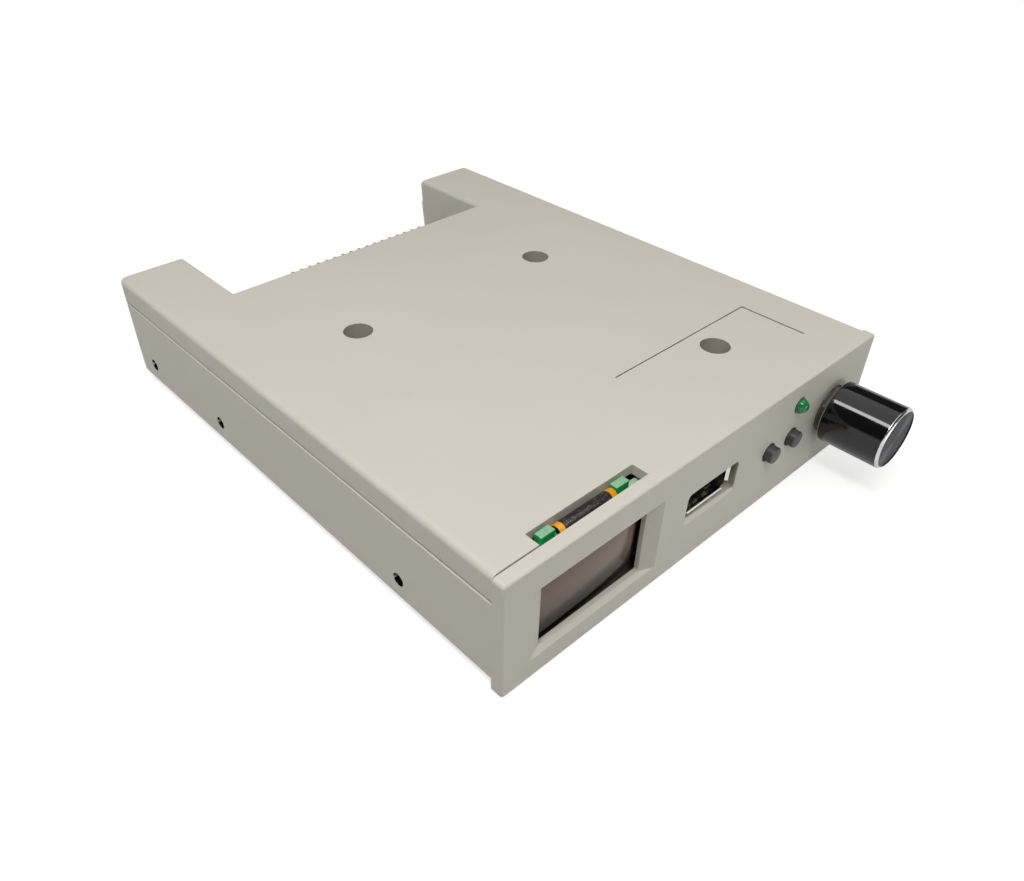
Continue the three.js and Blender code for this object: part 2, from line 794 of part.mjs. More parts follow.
// Open tray: floor, walls that lean in at the rear, and a lip that stands inside the cover's rim.
function tray() {
  const front = bezelThickness - overrun;
  const lipInset = wall + fitGap;
  const lipInside = lipInset + tongueThickness;
  const floorSlab = solidOf(
    roundedPrism(caseOutline(0, front, shelfSetback), floorThickness * 2, trayEdgeRadius)
      .translate(0, 0, trayBottom),
  );
  const floor = cut(floorSlab, spaceAbove(trayFloor));
  const walls = cut(
    planPrism(caseOutline(0, front, notchDepth), trayBottom + trayEdgeRadius, trayTop),
    planPrism(caseOutline(wall, front, notchDepth, wall + rearSlant), trayBottom, trayTop + overrun),
  );
  const lipRoot = cut(
    planPrism(caseOutline(wall / 2, front, notchDepth), trayTop - tongueRootHeight, trayTop),
    planPrism(caseOutline(lipInside, front, notchDepth), trayBottom, trayTop + overrun),
  );
  const lip = cut(
    planPrism(caseOutline(lipInset, front, notchDepth), trayTop - tongueRootHeight, trayTop + tongueHeight),
    planPrism(caseOutline(lipInside, front, notchDepth), trayBottom, trayTop + overrun),
  );
  const wallHeight = trayTop - trayBottom;
  const slantReach = rearSlant * (wallHeight + overrun) / wallHeight;
  const slant = sidePrism(
    polygon([
      [caseLength - slantReach, trayBottom - overrun],
      [caseLength + overrun, trayBottom - overrun],
      [caseLength + overrun, trayTop],
      [caseLength, trayTop],
    ]),
    -bezelWidth, bezelWidth,
  );
  const passageHalf = boardTailHalfWidth + fitGap * 2;
  const boardPassage = block(
    -passageHalf, passageHalf, notchFront - lipInside - overrun, notchFront + overrun,
    trayFloor, trayTop + tongueHeight + overrun,
  );
  return cut(join(floor, walls, lipRoot, lip), slant, boardPassage, spaceBefore(bezelThickness / 2));
}

// Posts under the board, each with a blind hole for a screw.
function screwPost([x, y]) {
  return cylinderZ(x, y, trayFloor - floorThickness / 2, boardBottom, bossRadius, smallSegments);
}

function screwPostHole([x, y]) {
  const bottom = trayFloor - floorThickness / 2;
  return cylinderZ(x, y, bottom, boardBottom + overrun, screwHoleRadius, smallSegments);
}

// Blocks behind the mounting holes, on both sides and underneath.
function sideBoss(side, y) {
  const inner = caseHalfWidth - wall - sideBossLength;
  const outer = caseHalfWidth - wall / 2;
  const [x0, x1] = side > 0 ? [inner, outer] : [-outer, -inner];
  return join(
    cylinderX(x0, x1, y, sideHoleHeight, sideBossRadius, smallSegments),
    block(x0, x1, y - sideBossRadius, y + sideBossRadius, trayFloor - floorThickness / 2, sideHoleHeight),
  );
}

function sideHole(side, y) {
  const inner = caseHalfWidth - sideHoleDepth;
  const outer = caseHalfWidth + overrun;
  const [x0, x1] = side > 0 ? [inner, outer] : [-outer, -inner];
  return cylinderX(x0, x1, y, sideHoleHeight, mountHoleRadius);
}

function lowerCase() {
  const sides = [-1, 1];
  const sidePlaces = [sideHoleFrontY, sideHoleMiddleY, sideHoleRearY]
    .flatMap((y) => sides.map((side) => [side, y]));
  const undersidePlaces = [undersideHoleFrontY, undersideHoleRearY]
    .flatMap((y) => sides.map((side) => [side * undersideHoleX, y]));
  const ledges = [[ledgeLeftX, ledgeRightX], [farLedgeLeftX, farLedgeRightX]].map(([x0, x1]) => block(
    x0, x1, bezelThickness / 2, bezelThickness + ledgeDepth,
    coverUnderside - fitGap - ledgeHeight, coverUnderside - fitGap,
  ));
  const ribHalf = coverRibThickness / 2;
  const ribRoot = trayFloor - floorThickness / 2;
  const longRibs = sides.map((side) => block(
    side * floorRibX - ribHalf, side * floorRibX + ribHalf, floorRibFront, ribRear,
    ribRoot, trayFloor + floorRibHeight,
  ));
  const crossRib = block(
    -caseHalfWidth + wall / 2, caseHalfWidth - wall / 2, crossRibY - ribHalf, crossRibY + ribHalf,
    ribRoot, trayFloor + floorRibHeight,
  );
  const undersideBosses = undersidePlaces.map(([x, y]) => cylinderZ(
    x, y, ribRoot, trayFloor + undersideBossHeight, undersideBossRadius, smallSegments,
  ));
  const undersideHoles = undersidePlaces.map(([x, y]) => cylinderZ(
    x, y, trayBottom - overrun, trayBottom + undersideHoleDepth, mountHoleRadius,
  ));
  return cut(
    join(
      bezel(), tray(), ...ledges, ...longRibs, crossRib, ...undersideBosses,
      ...screwPlaces.map(screwPost),
      ...sidePlaces.map(([side, y]) => sideBoss(side, y)),
    ),
    ...screwPlaces.map(screwPostHole),
    ...sidePlaces.map(([side, y]) => sideHole(side, y)),
    ...undersideHoles,
  );
}

// Cover plate with its rim, the skirt over the board, screw wells, the slot and the engraved line.
function topCover() {
  const front = bezelThickness - overrun;
  const rimHeight = bezelHeight - coverSeam;
  const crown = roundedPrism(caseOutline(0, front, notchDepth), rimHeight * 2, coverEdgeRadius)
    .translate(0, 0, bezelHeight - rimHeight * 2);
  const hollow = planPrism(caseOutline(wall, front - overrun, notchDepth), trayBottom, coverUnderside);
  const shell = cut(solidOf(crown), spaceBelow(coverSeam), hollow, spaceBefore(coverFront));
  const skirtHalf = boardTailHalfWidth - fitGap;
  const skirt = block(
    -skirtHalf, skirtHalf, notchFront - wall, notchFront, boardTop + skirtClear, coverSeam + wall,
  );
  const ribs = [-coverRibX, coverRibX].map((x) => block(
    x - coverRibThickness / 2, x + coverRibThickness / 2, coverRibFront, ribRear,
    coverUnderside - coverRibHeight, coverUnderside + coverThickness / 2,
  ));
  const wells = coverScrewPlaces.map(([x, y]) => cylinderZ(
    x, y, boardTop, coverUnderside + coverThickness / 2, wellRadius + wellWall,
  ));
  const wellBores = coverScrewPlaces.map(([x, y]) => cylinderZ(
    x, y, boardTop + wellFloor, bezelHeight + overrun, wellRadius,
  ));
  const wellHoles = coverScrewPlaces.map(([x, y]) => cylinderZ(
    x, y, boardTop - overrun, boardTop + wellFloor + overrun, screwHoleRadius, smallSegments,
  ));
  const slot = block(
    slotLeftX, slotRightX, coverFront - overrun, coverFront + slotDepth,
    coverUnderside - overrun, bezelHeight + overrun,
  );
  const grooveFloor = bezelHeight - grooveDepth;
  const grooveTop = bezelHeight + overrun;
  const grooveAcross = block(
    grooveLeft, grooveRight, grooveRear - grooveWidth, grooveRear, grooveFloor, grooveTop,
  );
  const grooveForward = block(
    grooveRight - grooveWidth, grooveRight, grooveFront, grooveRear, grooveFloor, grooveTop,
  );
  return cut(
    join(shell, skirt, ...ribs, ...wells),
    ...wellBores, ...wellHoles, slot, grooveAcross, grooveForward,
  );
}

// Screw with a flat-topped head; the head's underside sits at the given height.
function screw([x, y], headBottom) {
  const tip = trayFloor - floorThickness / 2 + screwTipClear;
  const headTop = headBottom + screwHeadHeight;
  return turnedZ([
    [0, tip],
    [screwShankRadius / 2, tip],
    [screwShankRadius, tip + screwShankRadius],
    [screwShankRadius, headBottom],
    [screwHeadRadius, headBottom],
    [screwHeadRadius, headTop - screwHeadHeight / 3],
    [screwHeadRadius - screwHeadHeight / 4, headTop],
    [screwDriveRadius, headTop],
    [screwDriveRadius, headTop - screwDriveDepth],
    [0, headTop - screwDriveDepth],
  ], x, y, smallSegments);
}

// Main board, cut away at the front corners for the display and the encoder.
function mainBoard() {
  const outline = polygon([
    [displayBayX, boardFront],
    [encoderBayX, boardFront],
    [encoderBayX, boardFront + encoderBayDepth],
    [boardHalfWidth, boardFront + encoderBayDepth],
    [boardHalfWidth, boardRear],
    [boardTailHalfWidth, boardRear],
    [boardTailHalfWidth, boardTailRear],
    [-boardTailHalfWidth, boardTailRear],
    [-boardTailHalfWidth, boardRear],
    [-boardHalfWidth, boardRear],
    [-boardHalfWidth, boardFront + displayBayDepth],
    [displayBayX, boardFront + displayBayDepth],
  ]);
  const low = boardBottom - overrun;
  const high = boardTop + overrun;
  const screwHoles = screwPlaces.map(
    ([x, y]) => cylinderZ(x, y, low, high, screwHoleRadius, smallSegments),
  );
  const legSlots = [-1, 1].map((side) => {
    const x = side * (usbShellWidth - usbShellWall) / 2;
    const half = usbShellWall / 2 + fitGap;
    return block(x - half, x + half, usbLegFront - fitGap, usbLegFront + usbLegWidth + fitGap, low, high);
  });
  const leadHoles = ledLeadPlaces.map(
    (x) => cylinderZ(x, ledLeadY, low, high, ledLeadHoleRadius, smallSegments),
  );
  return cut(planPrism(outline, boardBottom, boardTop), ...screwHoles, ...legSlots, ...leadHoles);
}

// Folded metal shell of the socket, open at both ends, with a leg on each side through the board.
function usbShell() {
  const outerHalf = usbShellWidth / 2;
  const innerHalf = usbOpeningWidth / 2;
  const legs = [-1, 1].map((side) => {
    const [x0, x1] = side > 0 ? [innerHalf, outerHalf] : [-outerHalf, -innerHalf];
    return block(x0, x1, usbLegFront, usbLegFront + usbLegWidth, boardBottom - usbLegReach, usbCentreZ);
  });
  const tube = block(
    -outerHalf, outerHalf, usbFront, usbShellRear, usbBottom, usbBottom + usbShellHeight,
  );
  const inside = block(
    -innerHalf, innerHalf, usbFront - overrun, usbShellRear + overrun,
    usbBottom + usbShellWall, usbBottom + usbShellHeight - usbShellWall,
  );
  return join(cut(tube, inside), ...legs);
}

// Moulded insulator: a tongue with contacts, a block that closes the shell, and a foot on the board.
function usbInsulator() {
  const blockHalf = usbOpeningWidth / 2 - fitGap;
  const blockHalfHeight = usbOpeningHeight / 2 - fitGap;
  const blockFront = usbShellRear - usbBlockLength;
  const capFront = usbShellRear + fitGap;
  const capRear = capFront + usbCapLength;
  const tongueFront = usbFront + usbTongueSetback;
  const tongueBottom = usbCentreZ + usbTongueRise;
  const contacts = [-usbContactOuter, -usbContactInner, usbContactInner, usbContactOuter].map((x) => block(
    x - usbContactWidth / 2, x + usbContactWidth / 2, tongueFront + usbContactSetback, blockFront,
    tongueBottom - usbContactHeight, tongueBottom + usbContactHeight,
  ));
  return join(
    block(
      -blockHalf, blockHalf, blockFront, capRear,
      usbCentreZ - blockHalfHeight, usbCentreZ + blockHalfHeight,
    ),
    block(-usbShellWidth / 2, usbShellWidth / 2, capFront, capRear, boardTop, usbBottom + usbShellHeight),
    block(-blockHalf, blockHalf, boardFront, capRear, boardTop, usbBottom),
    block(
      -usbTongueWidth / 2, usbTongueWidth / 2, tongueFront, blockFront + fitGap,
      tongueBottom, tongueBottom + usbTongueThickness,
    ),
    ...contacts,
  );
}

// Right-angle push switch: housing, metal front plate with arms, snap dome, and the plunger.
function switchBody(x) {
  const half = switchSize / 2;
  return cut(
    block(x - half, x + half, switchPlateBack, switchBack, boardTop, boardTop + switchSize),
    cylinderY(x, switchFront - overrun, switchBack - switchWall, switchCentreZ, switchCavityRadius),
  );
}

function switchCover(x) {
  const half = switchSize / 2;
  const outer = switchHalf;
  const arms = [[x - outer, x - half], [x + half, x + outer]].map(([x0, x1]) => block(
    x0, x1, switchFront, switchFront + switchArmDepth, boardTop, boardTop + switchArmHeight,
  ));
  const plate = block(x - outer, x + outer, switchFront, switchPlateBack, boardTop, boardTop + switchSize);
  const hole = cylinderY(
    x, switchFront - overrun, switchPlateBack + overrun, switchCentreZ, buttonRadius + fitGap,
  );
  return cut(join(plate, ...arms), hole);
}

function switchDome(x) {
  const seat = switchBack - switchWall;
  const apex = seat - domeHeight;
  const shoulder = domeRadius * domeShoulderShare;
  return turnedY([
    [0, apex],
    [shoulder, apex + domeHeight / 4],
    [domeRadius, seat - domeThickness],
    [domeRadius, seat],
    [domeRadius - domeThickness, seat],
    [shoulder, apex + domeHeight / 4 + domeThickness],
    [0, apex + domeThickness],
  ], x, switchCentreZ, smallSegments);
}

function button(x) {
  const flangeFront = switchPlateBack + fitGap;
  const flangeBack = flangeFront + buttonFlangeThickness;
  const nubTip = switchBack - switchWall - domeHeight - buttonTravel - stopGap;
  return turnedY([
    [0, -buttonReach],
    [buttonRadius - buttonChamfer, -buttonReach],
    [buttonRadius, -buttonReach + buttonChamfer],
    [buttonRadius, flangeFront],
    [buttonFlangeRadius, flangeFront],
    [buttonFlangeRadius, flangeBack],
    [buttonNubRadius, flangeBack],
    [buttonNubRadius, nubTip],
    [0, nubTip],
  ], x, switchCentreZ);
}

// Lamp: a domed lens on a flange behind the bezel, and its two bent leads.
function ledLens() {
  const domeCentre = -ledReach + ledRadius;
  const flangeFront = bezelThickness + fitGap;
  const dome = [];
  for (let i = 0; i < domeSteps; i += 1) {
    const angle = i / domeSteps * Math.PI / 2;
    dome.push([ledRadius * Math.sin(angle), domeCentre - ledRadius * Math.cos(angle)]);
  }
  return turnedY([
    ...dome,
    [ledRadius, domeCentre],
    [ledRadius, flangeFront],
    [ledFlangeRadius, flangeFront],
    [ledFlangeRadius, flangeFront + ledFlangeThickness],
    [0, flangeFront + ledFlangeThickness],
  ], ledX, ledZ);
}

function ledLead(x) {
  const half = ledLeadSize / 2;
  const start = bezelThickness + fitGap + ledFlangeThickness;
  return join(
    block(x - half, x + half, start, ledLeadY + half, ledZ - half, ledZ + half),
    block(x - half, x + half, ledLeadY - half, ledLeadY + half, boardBottom - ledLeadTail, ledZ + half),
  );
}

// Display: carrier board with two ears, bonded glass, and the film that loops over its top edge.
function displayBoard() {
  const left = displayCentreX - displayBoardWidth / 2;
  const right = displayCentreX + displayBoardWidth / 2;
  const shoulder = coverUnderside - displayShoulderDrop;
  const earTop = bezelHeight - earInset;
  const earLeft = displayCentreX - earSpan / 2;
  const earRight = displayCentreX + earSpan / 2;
  const outline = polygon([
    [left, displayBoardBottom],
    [right, displayBoardBottom],
    [right, shoulder],
    [earRight, shoulder],
    [earRight, earTop],
    [earRight - earWidth, earTop],
    [earRight - earWidth, shoulder],
    [earLeft + earWidth, shoulder],
    [earLeft + earWidth, earTop],
    [earLeft, earTop],
    [earLeft, shoulder],
    [left, shoulder],
  ]);
  const holes = [left + displayHoleInset, right - displayHoleInset].map((x) => cylinderY(
    x, displayBoardFront - overrun, displayBoardBack + overrun,
    displayBoardBottom + displayHoleInset, displayHoleRadius, smallSegments,
  ));
  return cut(frontPrism(outline, displayBoardFront, displayBoardBack), ...holes);
}

function displayGlass() {
  const left = displayCentreX - glassWidth / 2;
  const right = displayCentreX + glassWidth / 2;
  return join(
    block(left, right, glassFront, glassMiddle, glassBottom, glassBottom + glassHeight),
    block(
      left, right, glassMiddle - glassBond, glassBack,
      glassBottom, glassBottom + glassHeight - glassLedge,
    ),
  );
}

function displayFlex() {
  const outerRadius = (displayBoardBack + flexThickness - glassMiddle) / 2;
  const innerRadius = outerRadius - flexThickness;
  const centreY = glassMiddle + outerRadius;
  const centreZ = bezelHeight - earInset - outerRadius;
  const frontTail = glassBottom + glassHeight - glassLedge + fitGap;
  const rearTail = centreZ - flexTailLength;
  const shape = new THREE.Shape();
  shape.moveTo(centreY + innerRadius, rearTail);
  shape.lineTo(centreY + outerRadius, rearTail);
  shape.lineTo(centreY + outerRadius, centreZ);
  shape.absarc(centreY, centreZ, outerRadius, 0, Math.PI);
  shape.lineTo(centreY - outerRadius, frontTail);
  shape.lineTo(centreY - innerRadius, frontTail);
  shape.lineTo(centreY - innerRadius, centreZ);
  shape.absarc(centreY, centreZ, innerRadius, Math.PI, 0, true);
  shape.lineTo(centreY + innerRadius, rearTail);
  return sidePrism(shape, displayCentreX - flexWidth / 2, displayCentreX + flexWidth / 2);
}

// Row of square pins on a strip, and the plug that slides over them.
function displayHeader() {
  const half = displayPinCount * pinPitch / 2;
  const pins = displayPinPlaces.map((x) => block(
    x - pinSize / 2, x + pinSize / 2, displayBoardBack, displayStripBack + displayPinReach,
    displayPinZ - pinSize / 2, displayPinZ + pinSize / 2,
  ));
  const strip = block(
    displayCentreX - half, displayCentreX + half, displayBoardBack, displayStripBack,
    displayBoardBottom, displayBoardBottom + pinPitch,
  );
  return join(strip, ...pins);
}

function displayPlug() {
  const half = displayPinCount * pinPitch / 2;
  const front = displayStripBack + fitGap;
  const sockets = displayPinPlaces.map((x) => {
    const reach = pinSize / 2 + fitGap;
    return block(
      x - reach, x + reach, front - overrun, displayStripBack + displayPinReach + fitGap,
      displayPinZ - reach, displayPinZ + reach,
    );
  });
  const body = block(
    displayCentreX - half, displayCentreX + half, front, front + displayPlugLength,
    displayBoardBottom, displayBoardBottom + pinPitch,
  );
  return cut(body, ...sockets);
}

// Flat ribbon of touching wires: it runs back level, then turns up to the board's underside.
function ribbon(centreX, startY, z, run, wires, pitch, thickness) {
  const bend = boardBottom - z;
  const path = new THREE.CurvePath();
  path.add(new THREE.LineCurve3(new THREE.Vector3(0, startY, z), new THREE.Vector3(0, startY + run, z)));
  path.add(new THREE.QuadraticBezierCurve3(
    new THREE.Vector3(0, startY + run, z),
    new THREE.Vector3(0, startY + run + bend, z),
    new THREE.Vector3(0, startY + run + bend, boardBottom),
  ));
  const section = new THREE.Shape().absarc(0, 0, thickness / 2, Math.PI / 2, Math.PI * 2.5);
  const tubes = centredPlaces(wires, pitch, centreX).map((x) => solidOf(
    new THREE.ExtrudeGeometry(section, {
      steps: ribbonSteps, curveSegments: wireSteps, extrudePath: path,
    }).translate(x, 0, 0),
  ));
  return join(...tubes);
}

function displayRibbon() {
  const start = displayStripBack + fitGap + displayPlugLength;
  return ribbon(
    displayCentreX, start, displayPinZ, displayRibbonRun, displayPinCount, ribbonWirePitch, ribbonThickness,
  );
}

// Encoder: plate with threaded bush and straps, washer, nut, housing, rotor, detent leaf, shaft.
function encoderFrame() {
  const outer = encoderFrameHalf;
  const halfHeight = encoderHousingSize / 2;
  const strapEnd = encoderSwitchBack + fitGap + encoderStrapThickness;
  const straps = [-1, 1].flatMap((side) => {
    const near = outer - encoderStrapThickness;
    const hook = outer - encoderStrapHook;
    const [s0, s1] = side > 0 ? [near, outer] : [-outer, -near];
    const [h0, h1] = side > 0 ? [hook, outer] : [-outer, -hook];
    const z0 = encoderZ - encoderStrapWidth / 2;
    const z1 = encoderZ + encoderStrapWidth / 2;
    return [
      block(encoderX + s0, encoderX + s1, bezelThickness, strapEnd, z0, z1),
      block(encoderX + h0, encoderX + h1, strapEnd - encoderStrapThickness, strapEnd, z0, z1),
    ];
  });
  return cut(
    join(
      block(
        encoderX - outer, encoderX + outer, bezelThickness, encoderPlateBack,
        encoderZ - halfHeight, encoderZ + halfHeight,
      ),
      cylinderY(encoderX, -bushReach, encoderPlateBack, encoderZ, bushRadius),
      ...straps,
    ),
    cylinderY(encoderX, -bushReach - overrun, encoderPlateBack + overrun, encoderZ, bushBoreRadius),
  );
}

function encoderWasher() {
  return cut(
    cylinderY(encoderX, -washerThickness, 0, encoderZ, washerRadius),
    cylinderY(encoderX, -washerThickness - overrun, overrun, encoderZ, bushRadius + nutBoreGap),
  );
}

function encoderNut() {
  const corner = nutAcrossFlats / 2 / Math.cos(Math.PI / nutSides);
  const hexagon = cylinderY(
    encoderX, -washerThickness - nutThickness, -washerThickness, encoderZ, corner, nutSides,
  );
  const bore = cylinderY(
    encoderX, -washerThickness - nutThickness - overrun, overrun, encoderZ, bushRadius + nutBoreGap,
  );
  return cut(hexagon, bore);
}

function terminals(offsets, y) {
  const top = encoderZ - encoderHousingSize / 2;
  return offsets.map((offset) => block(
    encoderX + offset - terminalWidth / 2, encoderX + offset + terminalWidth / 2,
    y, y + terminalThickness, top - terminalReach, top + terminalThickness / 2,
  ));
}

function encoderHousing() {
  const half = encoderHousingSize / 2;
  const pins = terminals([-terminalPitch, 0, terminalPitch], (encoderHousingFront + encoderHousingBack) / 2);
  return cut(
    join(
      block(
        encoderX - half, encoderX + half, encoderHousingFront, encoderHousingBack,
        encoderZ - half, encoderZ + half,
      ),
      ...pins,
    ),
    cylinderY(
      encoderX, encoderHousingFront - overrun, encoderHousingBack - encoderRearWall,
      encoderZ, encoderCavityRadius,
    ),
    cylinderY(encoderX, encoderHousingFront, encoderHousingBack + overrun, encoderZ, tailHoleRadius),
  );
}

function encoderSwitch() {
  const half = encoderHousingSize / 2;
  const cavityEnd = plungerFront + plungerLength + pushTravel + stopGap;
  return cut(
    join(
      block(
        encoderX - half, encoderX + half, encoderSwitchFront, encoderSwitchBack,
        encoderZ - half, encoderZ + half,
      ),
      ...terminals([-terminalPitch, terminalPitch], encoderSwitchBack - terminalThickness * 3),
    ),
    cylinderY(encoderX, encoderSwitchFront - overrun, cavityEnd, encoderZ, plungerCavityRadius),
  );
}

function encoderRibbon() {
  const start = encoderSwitchBack - terminalThickness * 2;
  const z = encoderZ - (encoderHousingSize + terminalReach) / 2;
  return ribbon(
    encoderX, start, z, encoderRibbonRun, encoderRibbonWires, encoderWirePitch, encoderRibbonThickness,
  );
}

function encoderPlunger() {
  return turnedY([
    [0, plungerFront],
    [plungerRadius - plungerChamfer, plungerFront],
    [plungerRadius, plungerFront + plungerChamfer],
    [plungerRadius, plungerFront + plungerLength],
    [0, plungerFront + plungerLength],
  ], encoderX, encoderZ, smallSegments);
}

// D-shaped outline: a circle with its top cut off at a height above the centre.
function flattedCircle(Kind, radius, flatHeight) {
  const shape = new Kind();
  const start = Math.asin(flatHeight / radius);
  shape.absarc(encoderX, encoderZ, radius, Math.PI - start, Math.PI * 2 + start);
  shape.closePath();
  return shape;
}

function encoderRotor() {
  const valley = rotorRadius - detentDepth;
  const radii = [rotorRadius, rotorRadius, valley, valley];
  const points = Array.from({ length: detentCount * radii.length }, (_, i) => {
    const angle = i / (detentCount * radii.length) * Math.PI * 2;
    const radius = radii[i % radii.length];
    return [encoderX + radius * Math.cos(angle), encoderZ + radius * Math.sin(angle)];
  });
  const outline = polygon(points);
  const flatHeight = driveRadius - driveFlatDepth + driveGap;
  outline.holes.push(flattedCircle(THREE.Path, driveRadius + driveGap, flatHeight));
  return frontPrism(outline, rotorFront, rotorFront + rotorThickness, springSteps);
}

function detentSpring() {
  const middle = (rotorRadius + encoderCavityRadius) / 2;
  const outer = middle + detentSpringThickness / 2;
  const inner = middle - detentSpringThickness / 2;
  const shape = new THREE.Shape();
  shape.absarc(encoderX, encoderZ, outer, springStart, springEnd);
  shape.absarc(encoderX, encoderZ, inner, springEnd, springStart, true);
  shape.closePath();
  const front = rotorFront + (rotorThickness - detentSpringWidth) / 2;
  return frontPrism(shape, front, front + detentSpringWidth, springSteps);
}

function encoderShaft() {
  const collarFront = encoderHousingFront;
  const collarBack = collarFront + collarThickness;
  const driveBack = encoderHousingBack - encoderRearWall - pushTravel - stopGap;
  const chamfer = shaftRadius - shaftNeckRadius;
  const turned = turnedY([
    [0, -shaftReach],
    [shaftNeckRadius, -shaftReach],
    [shaftRadius, -shaftReach + chamfer],
    [shaftRadius, -knobCavityFloor],
    [shaftNeckRadius, -knobCavityFloor],
    [shaftNeckRadius, collarFront],
    [collarRadius, collarFront],
    [collarRadius, collarBack],
    [driveRadius, collarBack],
    [driveRadius, driveBack],
    [tailRadius, driveBack],
    [tailRadius, tailTip],
    [0, tailTip],
  ], encoderX, encoderZ);
  const knobFlat = block(
    encoderX - shaftRadius - overrun, encoderX + shaftRadius + overrun,
    -shaftReach - overrun, -knobCavityFloor,
    encoderZ + shaftRadius - shaftFlatDepth, encoderZ + shaftRadius + overrun,
  );
  const driveFlat = block(
    encoderX - driveRadius - overrun, encoderX + driveRadius + overrun, collarBack, driveBack,
    encoderZ + driveRadius - driveFlatDepth, encoderZ + driveRadius + overrun,
  );
  return cut(turned, knobFlat, driveFlat);
}

// Knob: turned shell with a dished face and bright chamfer, and the insert that grips the shaft.
function knob() {
  const front = -knobGap - knobLength;
  const rear = -knobGap;
  const face = front + knobDish;
  return turnedY([
    [0, face],
    [knobRadius - knobChamfer - knobRimWidth, face],
    [knobRadius - knobChamfer - knobRimWidth / 2, front],
    [knobRadius - knobChamfer, front],
    [knobRadius, front + knobChamfer],
    [knobRadius, rear - knobRearChamfer],
    [knobRadius - knobRearChamfer, rear],
    [knobCavityRadius, rear],
    [knobCavityRadius, -knobCavityFloor],
    [knobBoreRadius, -knobCavityFloor],
    [knobBoreRadius, face + knobFrontWall],
    [0, face + knobFrontWall],
  ], encoderX, encoderZ, knobSegments);
}

function knobInsert() {
  const front = -knobGap - knobLength + knobDish + knobFrontWall + insertGap;
  const bore = flattedCircle(THREE.Shape, shaftRadius + driveGap, shaftRadius - shaftFlatDepth + driveGap);
  return cut(
    cylinderY(encoderX, front, -knobCavityFloor, encoderZ, knobBoreRadius - fitGap),
    frontPrism(bore, -shaftReach - driveGap, -knobCavityFloor + overrun, springSteps),
  );
}

// Packages on the board: a body with rows of leads on two or four sides.
function packageBody(x, y, width, depth, height) {
  const bottom = boardTop + chipStandoff;
  return block(x - width / 2, x + width / 2, y - depth / 2, y + depth / 2, bottom, bottom + height);
}

// A row of leads past one edge of a body: the edge faces along Y, or along X.
function leadsAlongY(x, edge, side, count, pitch, width) {
  const [y0, y1] = side > 0 ? [edge - width, edge + chipLeadReach] : [edge - chipLeadReach, edge + width];
  return centredPlaces(count, pitch, x).map((place) => block(
    place - width / 2, place + width / 2, y0, y1, boardTop, boardTop + chipLeadThickness,
  ));
}

function leadsAlongX(edge, y, side, count, pitch, width) {
  const [x0, x1] = side > 0 ? [edge - width, edge + chipLeadReach] : [edge - chipLeadReach, edge + width];
  return centredPlaces(count, pitch, y).map((place) => block(
    x0, x1, place - width / 2, place + width / 2, boardTop, boardTop + chipLeadThickness,
  ));
}

function microcontroller() {
  const leads = [-1, 1].flatMap((side) => {
    const reach = side * chipSize / 2;
    return [
      ...leadsAlongX(chipX + reach, chipY, side, chipLeadsPerSide, chipLeadPitch, chipLeadWidth),
      ...leadsAlongY(chipX, chipY + reach, side, chipLeadsPerSide, chipLeadPitch, chipLeadWidth),
    ];
  });
  return join(packageBody(chipX, chipY, chipSize, chipSize, chipThickness), ...leads);
}

function lineDriver(x) {
  const leads = [-1, 1].flatMap((side) => leadsAlongY(
    x, driverY + side * driverWidth / 2, side, driverLeadCount, driverLeadPitch, driverLeadWidth,
  ));
  return join(packageBody(x, driverY, driverLength, driverWidth, driverHeight), ...leads);
}

function crystal() {
  const can = (grow, z0, z1) => {
    const half = crystalLength / 2 + grow;
    const side = crystalWidth / 2 + grow;
    const outline = roundedRectangle(
      crystalX - half, crystalX + half, crystalY - side, crystalY + side, side * crystalEndShare,
    );
    return planPrism(outline, z0, z1);
  };
  return join(
    can(crystalFlange, boardTop, boardTop + crystalFlangeThickness),
    can(0, boardTop + crystalFlangeThickness / 2, boardTop + crystalHeight),
  );
}

function voltageRegulator() {
  const bottom = boardTop + chipStandoff;
  const leads = centredPlaces(regulatorLeadCount, regulatorLeadPitch, regulatorX).map((x) => block(
    x - regulatorLeadWidth / 2, x + regulatorLeadWidth / 2,
    regulatorY - regulatorDepth / 2 - regulatorLeadReach, regulatorY,
    boardTop, boardTop + regulatorLeadThickness,
  ));
  return join(
    block(
      regulatorX - regulatorWidth / 2, regulatorX + regulatorWidth / 2,
      regulatorY - regulatorDepth / 2, regulatorY + regulatorDepth / 2, bottom, bottom + regulatorHeight,
    ),
    block(
      regulatorX - regulatorTabWidth / 2, regulatorX + regulatorTabWidth / 2,
      regulatorY, regulatorY + regulatorDepth / 2 + regulatorLeadReach,
      boardTop, boardTop + regulatorLeadThickness,
    ),
    ...leads,
  );
}

function capacitor(x, y) {
  const seat = boardTop + capacitorBaseHeight;
  const top = boardTop + capacitorHeight;
  const groove = seat + capacitorGrooveHeight;
  const can = turnedZ([
    [0, seat - capacitorBaseHeight / 2],
    [capacitorRadius, seat - capacitorBaseHeight / 2],
    [capacitorRadius, groove],
    [capacitorRadius - capacitorGroove, groove + capacitorGrooveHeight / 2],
    [capacitorRadius, groove + capacitorGrooveHeight],
    [capacitorRadius, top - capacitorGroove],
    [capacitorRadius - capacitorGroove, top],
    [0, top],
  ], x, y);
  const half = capacitorBase / 2;
  return join(block(x - half, x + half, y - half, y + half, boardTop, seat), can);
}

function resistorPack(x) {
  return planPrism(
    roundedRectangle(
      x - resistorLength / 2, x + resistorLength / 2,
      resistorY - resistorWidth / 2, resistorY + resistorWidth / 2, resistorHeight / 2,
    ),
    boardTop, boardTop + resistorHeight,
  );
}

